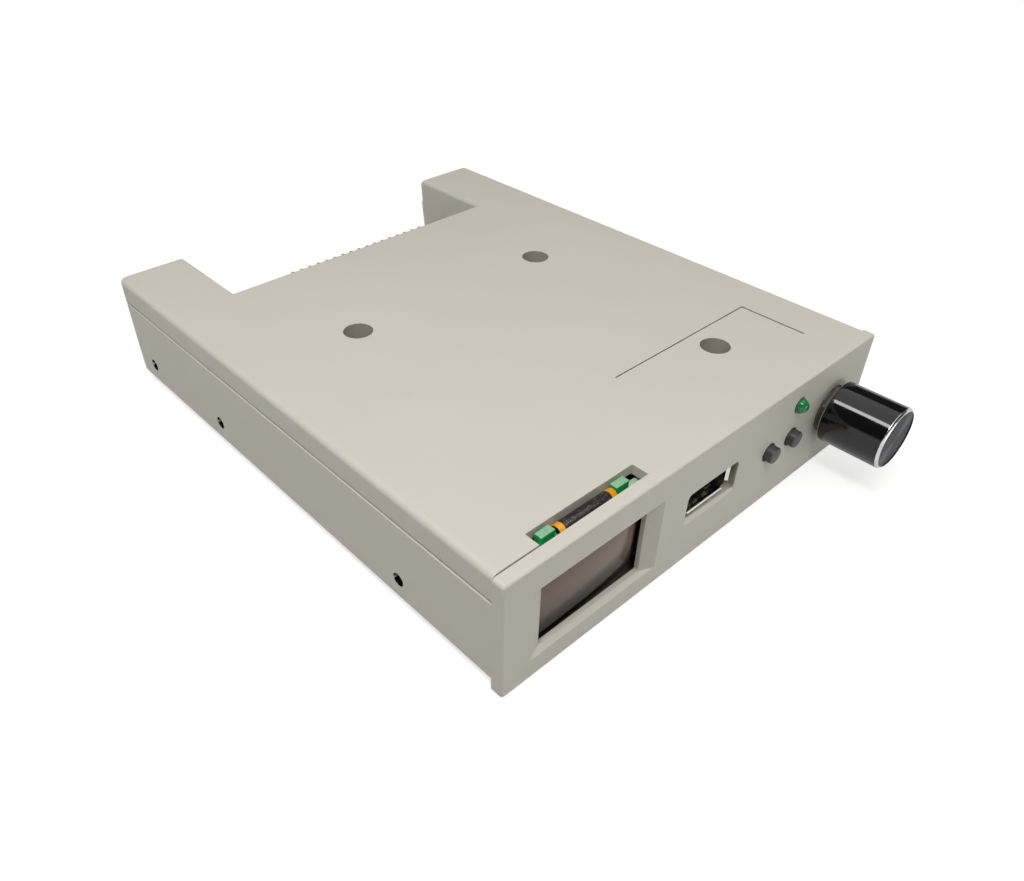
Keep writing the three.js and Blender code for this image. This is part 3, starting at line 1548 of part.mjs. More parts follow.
// Two-row right-angle header at the rear edge; its pins reach back through the notch.
function floppyHeader() {
  const half = headerColumns * pinPitch / 2;
  const base = block(
    headerCentreX - half, headerCentreX + half, headerFront, headerFront + headerDepth,
    boardTop, boardTop + headerHeight,
  );
  const pins = [];
  for (const x of centredPlaces(headerColumns, pinPitch, headerCentreX)) {
    for (const row of [0, 1]) {
      const z = boardTop + headerRowLow + row * pinPitch;
      const legY = headerLegStart + (1 - row) * pinPitch / 2;
      pins.push(block(
        x - pinSize / 2, x + pinSize / 2, legY, headerPinTip, z - pinSize / 2, z + pinSize / 2,
      ));
      pins.push(block(
        x - pinSize / 2, x + pinSize / 2, legY, legY + pinSize, boardTop, z + pinSize / 2,
      ));
    }
  }
  return join(base, ...pins);
}

function powerConnector() {
  const half = powerHalf;
  const rear = powerFront + powerBodyDepth;
  const pinZ = boardTop + powerPinHeight;
  const pins = centredPlaces(powerPinCount, pinPitch, powerCentreX).map((x) => block(
    x - pinSize / 2, x + pinSize / 2, rear - pinSize, rear + powerPinReach,
    pinZ - pinSize / 2, pinZ + pinSize / 2,
  ));
  const guides = [-1, 1].map((side) => {
    const x = powerCentreX + side * (half - powerSideWall / 2);
    return block(
      x - powerSideWall / 2, x + powerSideWall / 2, rear - powerSideWall, rear + powerShelfDepth,
      boardTop, boardTop + powerPinHeight,
    );
  });
  return join(
    block(powerCentreX - half, powerCentreX + half, powerFront, rear, boardTop, boardTop + powerBodyHeight),
    block(
      powerCentreX - half, powerCentreX + half, rear - powerSideWall, rear + powerShelfDepth,
      boardTop, boardTop + powerShelfHeight,
    ),
    ...guides, ...pins,
  );
}

function jumperHeader() {
  const halfX = jumperHalf;
  const halfY = jumperRows * pinPitch / 2;
  const pins = centredPlaces(jumperColumns, pinPitch, jumperCentreX).flatMap(
    (x) => centredPlaces(jumperRows, pinPitch, jumperCentreY).map((y) => block(
      x - pinSize / 2, x + pinSize / 2, y - pinSize / 2, y + pinSize / 2,
      boardTop, boardTop + jumperPinHeight,
    )),
  );
  return join(
    block(
      jumperCentreX - halfX, jumperCentreX + halfX, jumperCentreY - halfY, jumperCentreY + halfY,
      boardTop, boardTop + jumperBaseHeight,
    ),
    ...pins,
  );
}

function jumperCap() {
  const bottom = boardTop + jumperBaseHeight + fitGap;
  const reach = pinSize / 2 + fitGap;
  const sockets = centredPlaces(jumperRows, pinPitch, jumperCentreY).map((y) => block(
    jumperCentreX - reach, jumperCentreX + reach, y - reach, y + reach,
    bottom - overrun, boardTop + jumperPinHeight + fitGap,
  ));
  const body = block(
    jumperCentreX - jumperCapWidth / 2, jumperCentreX + jumperCapWidth / 2,
    jumperCentreY - jumperCapDepth / 2, jumperCentreY + jumperCapDepth / 2,
    bottom, bottom + jumperCapHeight,
  );
  return cut(body, ...sockets);
}

function meshOf(name, solid, finish) {
  const { vertProperties, triVerts } = solid.getMesh();
  const geometry = new THREE.BufferGeometry();
  geometry.setAttribute('position', new THREE.BufferAttribute(vertProperties, 3));
  geometry.setIndex(new THREE.BufferAttribute(triVerts, 1));
  geometry.computeVertexNormals();
  const mesh = new THREE.Mesh(geometry, new THREE.MeshStandardMaterial(finishes[finish]));
  mesh.name = name;
  return mesh;
}

const sideNames = ['left', 'right'];
const drive = new THREE.Group();
drive.add(
  meshOf('lower_case', lowerCase(), 'casePlastic'),
  meshOf('top_cover', topCover(), 'casePlastic'),
  meshOf('main_pcb', mainBoard(), 'board'),
  meshOf('usb_shell', usbShell(), 'steel'),
  meshOf('usb_insulator', usbInsulator(), 'whitePlastic'),
  meshOf('led_lens', ledLens(), 'lamp'),
  meshOf('led_lead_anode', ledLead(ledLeadPlaces[0]), 'steel'),
  meshOf('led_lead_cathode', ledLead(ledLeadPlaces[1]), 'steel'),
  meshOf('display_board', displayBoard(), 'displayBoard'),
  meshOf('display_glass', displayGlass(), 'glass'),
  meshOf('display_flex', displayFlex(), 'film'),
  meshOf('display_header', displayHeader(), 'blackPlastic'),
  meshOf('display_plug', displayPlug(), 'blackPlastic'),
  meshOf('display_ribbon', displayRibbon(), 'wire'),
  meshOf('encoder_frame', encoderFrame(), 'steel'),
  meshOf('encoder_washer', encoderWasher(), 'steel'),
  meshOf('encoder_nut', encoderNut(), 'brass'),
  meshOf('encoder_housing', encoderHousing(), 'blackPlastic'),
  meshOf('encoder_switch', encoderSwitch(), 'blackPlastic'),
  meshOf('encoder_plunger', encoderPlunger(), 'whitePlastic'),
  meshOf('encoder_rotor', encoderRotor(), 'whitePlastic'),
  meshOf('detent_spring', detentSpring(), 'steel'),
  meshOf('encoder_shaft', encoderShaft(), 'steel'),
  meshOf('encoder_ribbon', encoderRibbon(), 'wire'),
  meshOf('knob', knob(), 'knobMetal'),
  meshOf('knob_insert', knobInsert(), 'blackPlastic'),
  meshOf('microcontroller', microcontroller(), 'blackPlastic'),
  meshOf('crystal', crystal(), 'steel'),
  meshOf('voltage_regulator', voltageRegulator(), 'blackPlastic'),
  meshOf('capacitor_input', capacitor(capacitorInputX, capacitorInputY), 'steel'),
  meshOf('capacitor_output', capacitor(capacitorOutputX, capacitorOutputY), 'steel'),
  meshOf('floppy_header', floppyHeader(), 'blackPlastic'),
  meshOf('power_connector', powerConnector(), 'whitePlastic'),
  meshOf('jumper_header', jumperHeader(), 'blackPlastic'),
  meshOf('jumper_cap', jumperCap(), 'blackPlastic'),
);
buttonPlaces.forEach((x, i) => {
  drive.add(
    meshOf(`switch_body_${sideNames[i]}`, switchBody(x), 'blackPlastic'),
    meshOf(`switch_cover_${sideNames[i]}`, switchCover(x), 'steel'),
    meshOf(`switch_dome_${sideNames[i]}`, switchDome(x), 'steel'),
    meshOf(`button_${sideNames[i]}`, button(x), 'blackPlastic'),
  );
});
driverPlaces.forEach((x, i) => {
  drive.add(
    meshOf(`line_driver_${sideNames[i]}`, lineDriver(x), 'blackPlastic'),
    meshOf(`resistor_pack_${sideNames[i]}`, resistorPack(x), 'blackPlastic'),
  );
});
coverScrewPlaces.forEach((place, i) => {
  drive.add(meshOf(`cover_screw_${i + 1}`, screw(place, boardTop + wellFloor), 'steel'));
});
boardScrewPlaces.forEach((place, i) => {
  drive.add(meshOf(`board_screw_${i + 1}`, screw(place, boardTop), 'steel'));
});

// The origin is under the middle of the whole object, on the surface that it stands on.
drive.position.y = -boxCentreY;

export default drive;
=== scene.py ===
"""Floppy drive emulator for a 3.5-inch bay: its looks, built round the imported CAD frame.

Sizes are in millimetres, measured from the middle of the bezel's lower front edge: X to the
right, Y towards the rear, Z up. One function turns them into the row frame's metres.
"""

from __future__ import annotations

import logging
import math
from collections.abc import Callable, Iterable, Sequence
from dataclasses import dataclass
from enum import Enum, IntEnum

import bmesh
import bpy
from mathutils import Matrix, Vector


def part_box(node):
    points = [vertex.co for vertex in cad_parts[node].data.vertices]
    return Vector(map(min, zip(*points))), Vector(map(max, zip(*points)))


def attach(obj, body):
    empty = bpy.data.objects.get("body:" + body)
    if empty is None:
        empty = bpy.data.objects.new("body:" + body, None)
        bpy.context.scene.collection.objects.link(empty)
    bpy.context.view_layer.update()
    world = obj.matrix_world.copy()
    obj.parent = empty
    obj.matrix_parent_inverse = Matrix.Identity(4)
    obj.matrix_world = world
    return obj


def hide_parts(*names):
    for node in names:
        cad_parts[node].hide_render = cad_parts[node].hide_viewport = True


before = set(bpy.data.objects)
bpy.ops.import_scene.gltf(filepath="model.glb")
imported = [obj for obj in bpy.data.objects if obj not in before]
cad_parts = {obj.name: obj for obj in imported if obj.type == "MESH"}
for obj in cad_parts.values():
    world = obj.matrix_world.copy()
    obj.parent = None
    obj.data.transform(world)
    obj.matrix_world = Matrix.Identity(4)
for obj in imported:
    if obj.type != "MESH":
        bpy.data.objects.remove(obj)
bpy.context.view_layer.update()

LOG = logging.getLogger("drive")
MM = 0.001
FACE_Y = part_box("lower_case")[0].y
# Measures of the CAD that agree to within this many millimetres are the same.
SLACK = 0.05
FINE = 0.02
# Most values of a noise texture lie between these two.
NOISE_SPAN = (0.3, 0.7)

Pair = tuple[float, float]
Point = tuple[float, float, float]
Inputs = dict[str | int, object]


class Body(Enum):
    """The CAD bodies that pieces ride on."""

    HOUSING = "housing"
    KNOB = "knob"
    BUTTON_LEFT = "button_left"
    BUTTON_RIGHT = "button_right"


class Slot(Enum):
    """The record's material slots."""

    CASE = "case_plastic"
    KNOB = "knob_metal"
    BLACK = "black_plastic"
    BUTTON = "button_plastic"
    DISPLAY_BOARD = "display_board"
    STEEL = "steel"
    BRASS = "brass"
    GLASS = "screen_glass"
    FILM = "film"
    LAMP = "lamp"


class Axis(IntEnum):
    """A coordinate axis, as an index."""

    X = 0
    Y = 1
    Z = 2


class Patch(IntEnum):
    """The finishes of the case's faces, as their indices."""

    PLAIN = 0
    # Wells and engraved line: darker ABS as painted shade.
    PAINTED_SHADE = 1
    # Side holes' walls: dark steel as painted shade.
    INSERT = 2
    # Window's right-hand bevel: darker ABS as painted shade.
    BEVEL = 3


class Band(IntEnum):
    """The finishes of the knob's bands, as their indices."""

    SIDE = 0
    BRIGHT = 1
    FACE = 2


def spot(x: float, y: float, z: float) -> Vector:
    """Turns a place in millimetres from the bezel's lower front edge into the row frame.

    Args:
        x: Millimetres to the right of the bezel's middle.
        y: Millimetres behind the bezel's face.
        z: Millimetres above the bezel's lower edge.

    Returns:
        The point in metres.
    """
    return Vector((x * MM, FACE_Y + y * MM, z * MM))


def measured(place: Vector) -> Point:
    """Turns a point of the row frame back into millimetres from the bezel's front edge."""
    return place.x / MM, (place.y - FACE_Y) / MM, place.z / MM


def close(first: float, second: float, slack: float = SLACK) -> bool:
    """Says whether two measures of the CAD are the same."""
    return abs(first - second) < slack


def quarter(steps: int) -> list[float]:
    """Gives the angles of a quarter turn in equal steps, with both ends."""
    return [math.pi / 2 * step / steps for step in range(steps + 1)]


def linear(colour: str) -> tuple[float, float, float, float]:
    """Turns an sRGB hex colour into the linear values that shaders take.

    Args:
        colour: Six hex digits, such as "c8c4b8".

    Returns:
        Linear red, green, blue and an alpha of one.
    """
    parts = [int(colour[i : i + 2], 16) / 255 for i in (0, 2, 4)]
    bright = [c / 12.92 if c <= 0.04045 else ((c + 0.055) / 1.055) ** 2.4 for c in parts]
    return (*bright, 1.0)


def feed(tree: bpy.types.NodeTree, node: bpy.types.Node, inputs: Inputs) -> None:
    """Sets a node's inputs.

    Args:
        tree: The node's tree.
        node: The node.
        inputs: For each input, by name or index, a value, or the socket or node that feeds it.
    """
    for name, value in inputs.items():
        if isinstance(value, bpy.types.Node):
            value = next(socket for socket in value.outputs if socket.enabled)
        if isinstance(value, bpy.types.NodeSocket):
            tree.links.new(value, node.inputs[name])
        else:
            node.inputs[name].default_value = value


def add_node(
    tree: bpy.types.NodeTree, kind: str, inputs: Inputs | None = None, **settings: object
) -> bpy.types.Node:
    """Adds a node with its settings, its values and its links.

    Args:
        tree: The node tree that gets the node.
        kind: The node's type name.
        inputs: For each input, by name or index, a value, or the socket or node that feeds it.
        **settings: The node's own properties.

    Returns:
        The new node.
    """
    node = tree.nodes.new(kind)
    for name, value in settings.items():
        setattr(node, name, value)
    feed(tree, node, inputs or {})
    return node


def uneven(
    tree: bpy.types.NodeTree,
    place: object,
    size: float,
    low: float,
    high: float,
    detail: float = 3.0,
) -> tuple[bpy.types.Node, bpy.types.Node]:
    """Draws an uneven surface: cloudy noise, and the same noise spread over a range.

    Args:
        tree: The material's tree.
        place: The coordinates.
        size: The size of one cloud in millimetres.
        low: What the darkest part of the noise becomes.
        high: What its lightest part becomes.
        detail: How many finer layers the noise has.

    Returns:
        The noise, about 0.5 in the middle, and its spread.
    """
    inputs: Inputs = {"Vector": place, "Scale": 1 / (size * MM), "Detail": detail}
    noise = add_node(tree, "ShaderNodeTexNoise", inputs)
    start, end = NOISE_SPAN
    span: Inputs = {"From Min": start, "From Max": end, "To Min": low, "To Max": high}
    return noise, add_node(tree, "ShaderNodeMapRange", {"Value": noise, **span})


def looking(tree: bpy.types.NodeTree) -> tuple[bpy.types.NodeSocket, bpy.types.Node]:
    """Tells which rays look: the camera's own, and those that metal and glass send on.

    Args:
        tree: The node tree that asks.

    Returns:
        What is 1 for camera rays, and what is 1 for mirrored ones.
    """
    path = add_node(tree, "ShaderNodeLightPath").outputs
    both: Inputs = {0: path["Is Glossy Ray"], 1: path["Is Transmission Ray"]}
    return path["Is Camera Ray"], add_node(tree, "ShaderNodeMath", both, operation="MAXIMUM")


@dataclass(frozen=True)
class Finish:
    """A surface: what it is made of, its colour and its gloss.

    The plain values sit on the shader's own sockets; subclasses draw the pattern.
    """

    name: str
    colour: str
    roughness: float
    metallic: float = 0.0
    ior: float = 1.5
    strength: float = 1.0

    def material(self) -> bpy.types.Material:
        """Builds the node material, once.

        Returns:
            The finished material.
        """
        found = bpy.data.materials.get(self.name)
        if found is not None:
            return found
        material = bpy.data.materials.new(self.name)
        material.use_nodes = True
        tree = material.node_tree
        tree.nodes.clear()
        values: Inputs = {
            "Base Color": linear(self.colour),
            "Roughness": self.roughness,
            "Metallic": self.metallic,
        }
        if not self.metallic:
            values["IOR"] = self.ior
        shader = add_node(tree, "ShaderNodeBsdfPrincipled", values)
        feed(tree, shader, self.pattern(tree))
        add_node(tree, "ShaderNodeOutputMaterial", {"Surface": shader})
        return material

    def pattern(self, tree: bpy.types.NodeTree) -> Inputs:
        """Draws the surface's own detail; a plain finish has none.

        Args:
            tree: The material's tree.

        Returns:
            What feeds the shader's inputs.
        """
        return {}

    def coat(
        self, tree: bpy.types.NodeTree, tones: Inputs, height: object, depth: float
    ) -> Inputs:
        """Mixes two tones into the colour, and bumps the surface by a height pattern.

        Args:
            tree: The material's tree.
            tones: The mix's factor, as 0, and its two tones, as 6 and 7.
            height: The pattern, from 0 to 1.
            depth: The height of the relief in millimetres.

        Returns:
            What feeds the shader's colour and normal.
        """
        relief: Inputs = {"Height": height, "Distance": depth * MM, "Strength": self.strength}
        return {
            "Base Color": add_node(tree, "ShaderNodeMix", tones, data_type="RGBA"),
            "Normal": add_node(tree, "ShaderNodeBump", relief),
        }


@dataclass(frozen=True)
class MouldedPlastic(Finish):
    """ABS from a spark-eroded mould: fine satin grain with faint clouds of tone."""

    shade: str = "b9b4a6"
    grain: float = 0.4
    grain_depth: float = 0.006
    cloud: float = 28.0
    tone: float = 0.35
    glossier: float = 0.05
    duller: float = 0.07

    def pattern(self, tree: bpy.types.NodeTree) -> Inputs:
        """Draws satin grain, clouds of tone and a slightly uneven gloss."""
        place = add_node(tree, "ShaderNodeTexCoord").outputs["Object"]
        _, clouds = uneven(tree, place, self.cloud, 0.0, self.tone)
        tones: Inputs = {0: clouds, 6: linear(self.colour), 7: linear(self.shade)}
        low, high = self.roughness - self.glossier, self.roughness + self.duller
        # The real grain is about 0.1 mm across; it is drawn coarser, so that it shows at all.
        grain, gloss = uneven(tree, place, self.grain, low, high, 2.0)
        return {**self.coat(tree, tones, grain, self.grain_depth), "Roughness": gloss}


@dataclass(frozen=True)
class GlossAnodised(Finish):
    """Turned aluminium, anodised gloss black: deep black with mirror-like bands of light."""

    turning: float = 0.22
    turning_depth: float = 0.0012
    strength: float = 0.6
    wear: float = 3.0
    wear_range: Pair = (0.8, 1.3)

    def pattern(self, tree: bpy.types.NodeTree) -> Inputs:
        """Draws faint turning marks round the knob and a slightly uneven gloss."""
        place = add_node(tree, "ShaderNodeTexCoord").outputs["Object"]
        along = add_node(tree, "ShaderNodeSeparateXYZ", {"Vector": place}).outputs["Y"]
        rings = add_node(tree, "ShaderNodeCombineXYZ", {"Y": along})
        # Real turning marks are about 0.05 mm apart; these are wider, so that they show.
        width: Inputs = {"Vector": rings, "Scale": 1 / (self.turning * MM), "Detail": 4.0}
        marks = add_node(tree, "ShaderNodeTexNoise", width)
        low, high = (self.roughness * share for share in self.wear_range)
        _, gloss = uneven(tree, place, self.wear, low, high)
        depth = self.turning_depth * MM
        relief: Inputs = {"Height": marks, "Distance": depth, "Strength": self.strength}
        return {"Roughness": gloss, "Normal": add_node(tree, "ShaderNodeBump", relief)}


@dataclass(frozen=True)
class SpunMetal(Finish):
    """A face-turned end: fine circles, with a few rays of highlight painted into its colour."""

    centre: Point = (0.0, 0.0, 0.0)
    groove: float = 0.16
    groove_depth: float = 0.0016
    strength: float = 0.5
    painted_sheen: str = "7c7e83"
    painted_sheen_share: float = 0.5
    painted_ray_start: float = 0.55
    painted_rays: float = 2.0
    edge_tint: str = "d8d8da"

    def pattern(self, tree: bpy.types.NodeTree) -> Inputs:
        """Draws concentric grooves and, as painted highlight, a few lighter rays across them."""
        coordinates = add_node(tree, "ShaderNodeTexCoord").outputs["Object"]
        shift: Inputs = {"Vector": coordinates, "Location": -spot(*self.centre)}
        place = add_node(tree, "ShaderNodeMapping", shift)
        face: Inputs = {0: place, 1: (1.0, 0.0, 1.0)}
        flat = add_node(tree, "ShaderNodeVectorMath", face, operation="MULTIPLY")
        radius = add_node(tree, "ShaderNodeVectorMath", {0: flat}, operation="LENGTH")
        pace: Inputs = {0: radius, 1: math.tau / (self.groove * MM)}
        turns = add_node(tree, "ShaderNodeMath", pace, operation="MULTIPLY")
        grooves = add_node(tree, "ShaderNodeMath", {0: turns}, operation="SINE")
        split = add_node(tree, "ShaderNodeSeparateXYZ", {"Vector": place}).outputs
        sides: Inputs = {0: split["Z"], 1: split["X"]}
        angle = add_node(tree, "ShaderNodeMath", sides, operation="ARCTAN2")
        fan = add_node(tree, "ShaderNodeMath", {0: angle, 1: self.painted_rays}, operation="MULTIPLY")
        lobes = add_node(tree, "ShaderNodeMath", {0: fan}, operation="SINE")
        # Lighter rays at set angles: a painted highlight.
        span: Inputs = {"From Min": self.painted_ray_start, "From Max": 1.0, "To Max": self.painted_sheen_share}
        painted_rays = add_node(tree, "ShaderNodeMapRange", {"Value": lobes, **span})
        tones: Inputs = {0: painted_rays, 6: linear(self.colour), 7: linear(self.painted_sheen)}
        # Real grooves are about 0.03 mm apart; these are wider, so that they show.
        coat = self.coat(tree, tones, grooves, self.groove_depth)
        return {**coat, "Specular Tint": linear(self.edge_tint)}


@dataclass(frozen=True)
class PlatedMetal(Finish):
    """Stamped and plated sheet or wire: bright, with faint rolling streaks and dull spots."""

    streak: float = 0.35
    streak_depth: float = 0.002
    strength: float = 0.4
    squeeze: float = 0.08
    streak_range: Pair = (0.75, 1.4)
    along: Axis = Axis.Y
    tarnish: str = "8f8d88"
    spots: float = 2.2
    spot_share: float = 0.35

    def pattern(self, tree: bpy.types.NodeTree) -> Inputs:
        """Draws streaks along the rolling direction and a faint tarnish."""
        place = add_node(tree, "ShaderNodeTexCoord").outputs["Object"]
        stretch = [1.0, 1.0, 1.0]
        stretch[self.along] = self.squeeze
        drawn = add_node(tree, "ShaderNodeMapping", {"Vector": place, "Scale": tuple(stretch)})
        low, high = (self.roughness * share for share in self.streak_range)
        streaks, gloss = uneven(tree, drawn, self.streak, low, high)
        _, dull = uneven(tree, place, self.spots, 0.0, self.spot_share)
        tones: Inputs = {0: dull, 6: linear(self.colour), 7: linear(self.tarnish)}
        return {**self.coat(tree, tones, streaks, self.streak_depth), "Roughness": gloss}


@dataclass(frozen=True)
class SolderResist(Finish):
    """Glass-epoxy board under green resist: tracks show as paler lines, cut edges are bare."""

    track: str = "2f7a50"
    track_pitch: float = 2.54
    track_length: float = 2.6
    track_width: float = 0.09
    track_blur: float = 0.1
    track_height: float = 0.02
    strength: float = 0.5
    cut_edge: str = "9fc7a6"
    low_edge: str = "b9bdb2"
    edge_heights: Pair = (24.2, 24.6)
    edge_slope: float = 0.7
    edge_roughness: float = 0.75
    fibre: float = 0.35
    fibre_share: float = 0.45

    def pattern(self, tree: bpy.types.NodeTree) -> Inputs:
        """Draws tracks under the resist and the pale fibres of the cut edges."""
        coordinates = add_node(tree, "ShaderNodeTexCoord").outputs
        place = coordinates["Object"]
        layout: Inputs = {
            "Vector": place,
            "Color1": linear(self.colour),
            "Color2": linear(self.colour),
            "Mortar": linear(self.track),
            "Scale": 1 / (self.track_pitch * MM),
            "Mortar Size": self.track_width,
            "Mortar Smooth": self.track_blur,
            "Brick Width": self.track_length,
            "Row Height": 1.0,
        }
        tracks = add_node(tree, "ShaderNodeTexBrick", layout).outputs
        height = add_node(tree, "ShaderNodeSeparateXYZ", {"Vector": place}).outputs["Z"]
        low, high = (value * MM for value in self.edge_heights)
        rise: Inputs = {"Value": height, "From Min": low, "From Max": high}
        ear = add_node(tree, "ShaderNodeMapRange", rise)
        ends: Inputs = {0: ear, 6: linear(self.low_edge), 7: linear(self.cut_edge)}
        edges = add_node(tree, "ShaderNodeMix", ends, data_type="RGBA")
        _, fibres = uneven(tree, place, self.fibre, 0.0, self.fibre_share)
        woven: Inputs = {0: fibres, 6: edges, 7: linear(self.track)}
        bare = add_node(tree, "ShaderNodeMix", woven, data_type="RGBA")
        normal = {"Vector": coordinates["Normal"]}
        upward = add_node(tree, "ShaderNodeSeparateXYZ", normal).outputs["Z"]
        steep: Inputs = {0: upward, 1: self.edge_slope}
        edge = add_node(tree, "ShaderNodeMath", steep, operation="GREATER_THAN")
        tones: Inputs = {0: edge, 6: tracks["Color"], 7: bare}
        dull: Inputs = {"Value": edge, "To Min": self.roughness, "To Max": self.edge_roughness}
        coat = self.coat(tree, tones, tracks["Fac"], self.track_height)
        return {**coat, "Roughness": add_node(tree, "ShaderNodeMapRange", dull)}


@dataclass(frozen=True)
class ScreenGlass(Finish):
    """Polished glass over a dark polariser, with a brown-mauve reflection painted into its colour
    that sinks into near black.
    """

    painted_reflection: str = "7e6a5c"
    heights: Pair = (6.0, 13.5)
    right: float = -18.6
    band: float = 1.1
    specular: float = 0.22
    dust: float = 0.6
    dust_height: float = 0.0004
    strength: float = 0.3
    duller: float = 0.08

    def pattern(self, tree: bpy.types.NodeTree) -> Inputs:
        """Draws the painted reflection, dark towards the lower and right-hand edges, with faint
        dust.
        """
        place = add_node(tree, "ShaderNodeTexCoord").outputs["Object"]
        split = add_node(tree, "ShaderNodeSeparateXYZ", {"Vector": place}).outputs
        side = (self.right, self.right - self.band)
        reflection_fades: Inputs = {}
        for index, axis, (start, end) in ((0, "Z", self.heights), (1, "X", side)):
            span: Inputs = {"Value": split[axis], "From Min": start * MM, "From Max": end * MM}
            reflection_fades[index] = add_node(
                tree, "ShaderNodeMapRange", span, interpolation_type="SMOOTHSTEP"
            )
        both = add_node(tree, "ShaderNodeMath", reflection_fades, operation="MULTIPLY")
        # The mask mixes in the painted reflection.
        tones: Inputs = {0: both, 6: linear(self.colour), 7: linear(self.painted_reflection)}
        low, high = self.roughness, self.roughness + self.duller
        dust, gloss = uneven(tree, place, self.dust, low, high, 4.0)
        coat = self.coat(tree, tones, dust, self.dust_height)
        return {**coat, "Specular IOR Level": self.specular, "Roughness": gloss}


@dataclass(frozen=True)
class Laminate(Finish):
    """Black polyimide film with amber, uncoated bands at both edges of its width."""

    amber: str = "e39a0c"
    centre_x: float = -29.85
    black_half: float = 5.25
    weave: float = 0.45
    weave_height: float = 0.03
    strength: float = 0.7
    worn: str = "3d3934"
    worn_share: float = 0.4
    speck: float = 0.25
    speck_range: Pair = (0.7, 0.78)
    dust: str = "8a867c"

    def pattern(self, tree: bpy.types.NodeTree) -> Inputs:
        """Draws the amber edge bands, and dimples from the tracks inside the film."""
        place = add_node(tree, "ShaderNodeTexCoord").outputs["Object"]
        across = add_node(tree, "ShaderNodeSeparateXYZ", {"Vector": place}).outputs["X"]
        middle: Inputs = {0: across, 1: self.centre_x * MM}
        shift = add_node(tree, "ShaderNodeMath", middle, operation="SUBTRACT")
        out = add_node(tree, "ShaderNodeMath", {0: shift}, operation="ABSOLUTE")
        edge: Inputs = {0: out, 1: self.black_half * MM}
        bare = add_node(tree, "ShaderNodeMath", edge, operation="GREATER_THAN")
        tracks, worn = uneven(tree, place, self.weave, 0.0, self.worn_share)
        black: Inputs = {0: worn, 6: linear(self.colour), 7: linear(self.worn)}
        film = add_node(tree, "ShaderNodeMix", black, data_type="RGBA")
        # Pale specks of dust and solder paste, drawn about twice their real 0.1 mm.
        scatter: Inputs = {"Vector": place, "Scale": 1 / (self.speck * MM), "Detail": 0.0}
        noise = add_node(tree, "ShaderNodeTexNoise", scatter)
        low, high = self.speck_range
        tips: Inputs = {"Value": noise, "From Min": low, "From Max": high}
        specks = add_node(tree, "ShaderNodeMapRange", tips)
        specked: Inputs = {0: specks, 6: film, 7: linear(self.dust)}
        dusty = add_node(tree, "ShaderNodeMix", specked, data_type="RGBA")
        tones: Inputs = {0: bare, 6: dusty, 7: linear(self.amber)}
        return self.coat(tree, tones, tracks, self.weave_height)


@dataclass(frozen=True)
class ClearEpoxy(Finish):
    """Tinted clear epoxy of a round lamp: light goes in and glows in its body."""

    transmission: float = 0.25
    deep: str = "0f6e3b"
    cloud: float = 1.2
    cloud_share: float = 0.5

    def pattern(self, tree: bpy.types.NodeTree) -> Inputs:
        """Lets light through and clouds the tint a little."""
        place = add_node(tree, "ShaderNodeTexCoord").outputs["Object"]
        _, clouds = uneven(tree, place, self.cloud, 0.0, self.cloud_share)
        tones: Inputs = {0: clouds, 6: linear(self.colour), 7: linear(self.deep)}
        return {
            "Base Color": add_node(tree, "ShaderNodeMix", tones, data_type="RGBA"),
            "Transmission Weight": self.transmission,
        }


@dataclass(frozen=True)
class WhitePaper(Finish):
    """The studio's paper floor: white to the camera, and it keeps the shadow."""

    glow: float = 0.72
    mirrored_share: float = 0.7
    whitening: Pair = (0.1, 0.3)

    def pattern(self, tree: bpy.types.NodeTree) -> Inputs:
        """Glows for the rays that look, fully so away from the drive (distances in metres)."""
        camera, mirrored = looking(tree)
        share: Inputs = {0: mirrored, 1: self.mirrored_share}
        dimmed = add_node(tree, "ShaderNodeMath", share, operation="MULTIPLY")
        seen = add_node(tree, "ShaderNodeMath", {0: camera, 1: dimmed}, operation="MAXIMUM")
        place = add_node(tree, "ShaderNodeTexCoord").outputs["Object"]
        away = add_node(tree, "ShaderNodeVectorMath", {0: place}, operation="LENGTH")
        near, far = self.whitening
        span: Inputs = {
            "Value": away, "From Min": near, "From Max": far, "To Min": self.glow, "To Max": 1.0,
        }
        white = add_node(tree, "ShaderNodeMapRange", span, interpolation_type="SMOOTHSTEP")
        both: Inputs = {0: seen, 1: white}
        return {
            "Emission Color": (1.0, 1.0, 1.0, 1.0),
            "Emission Strength": add_node(tree, "ShaderNodeMath", both, operation="MULTIPLY"),
        }


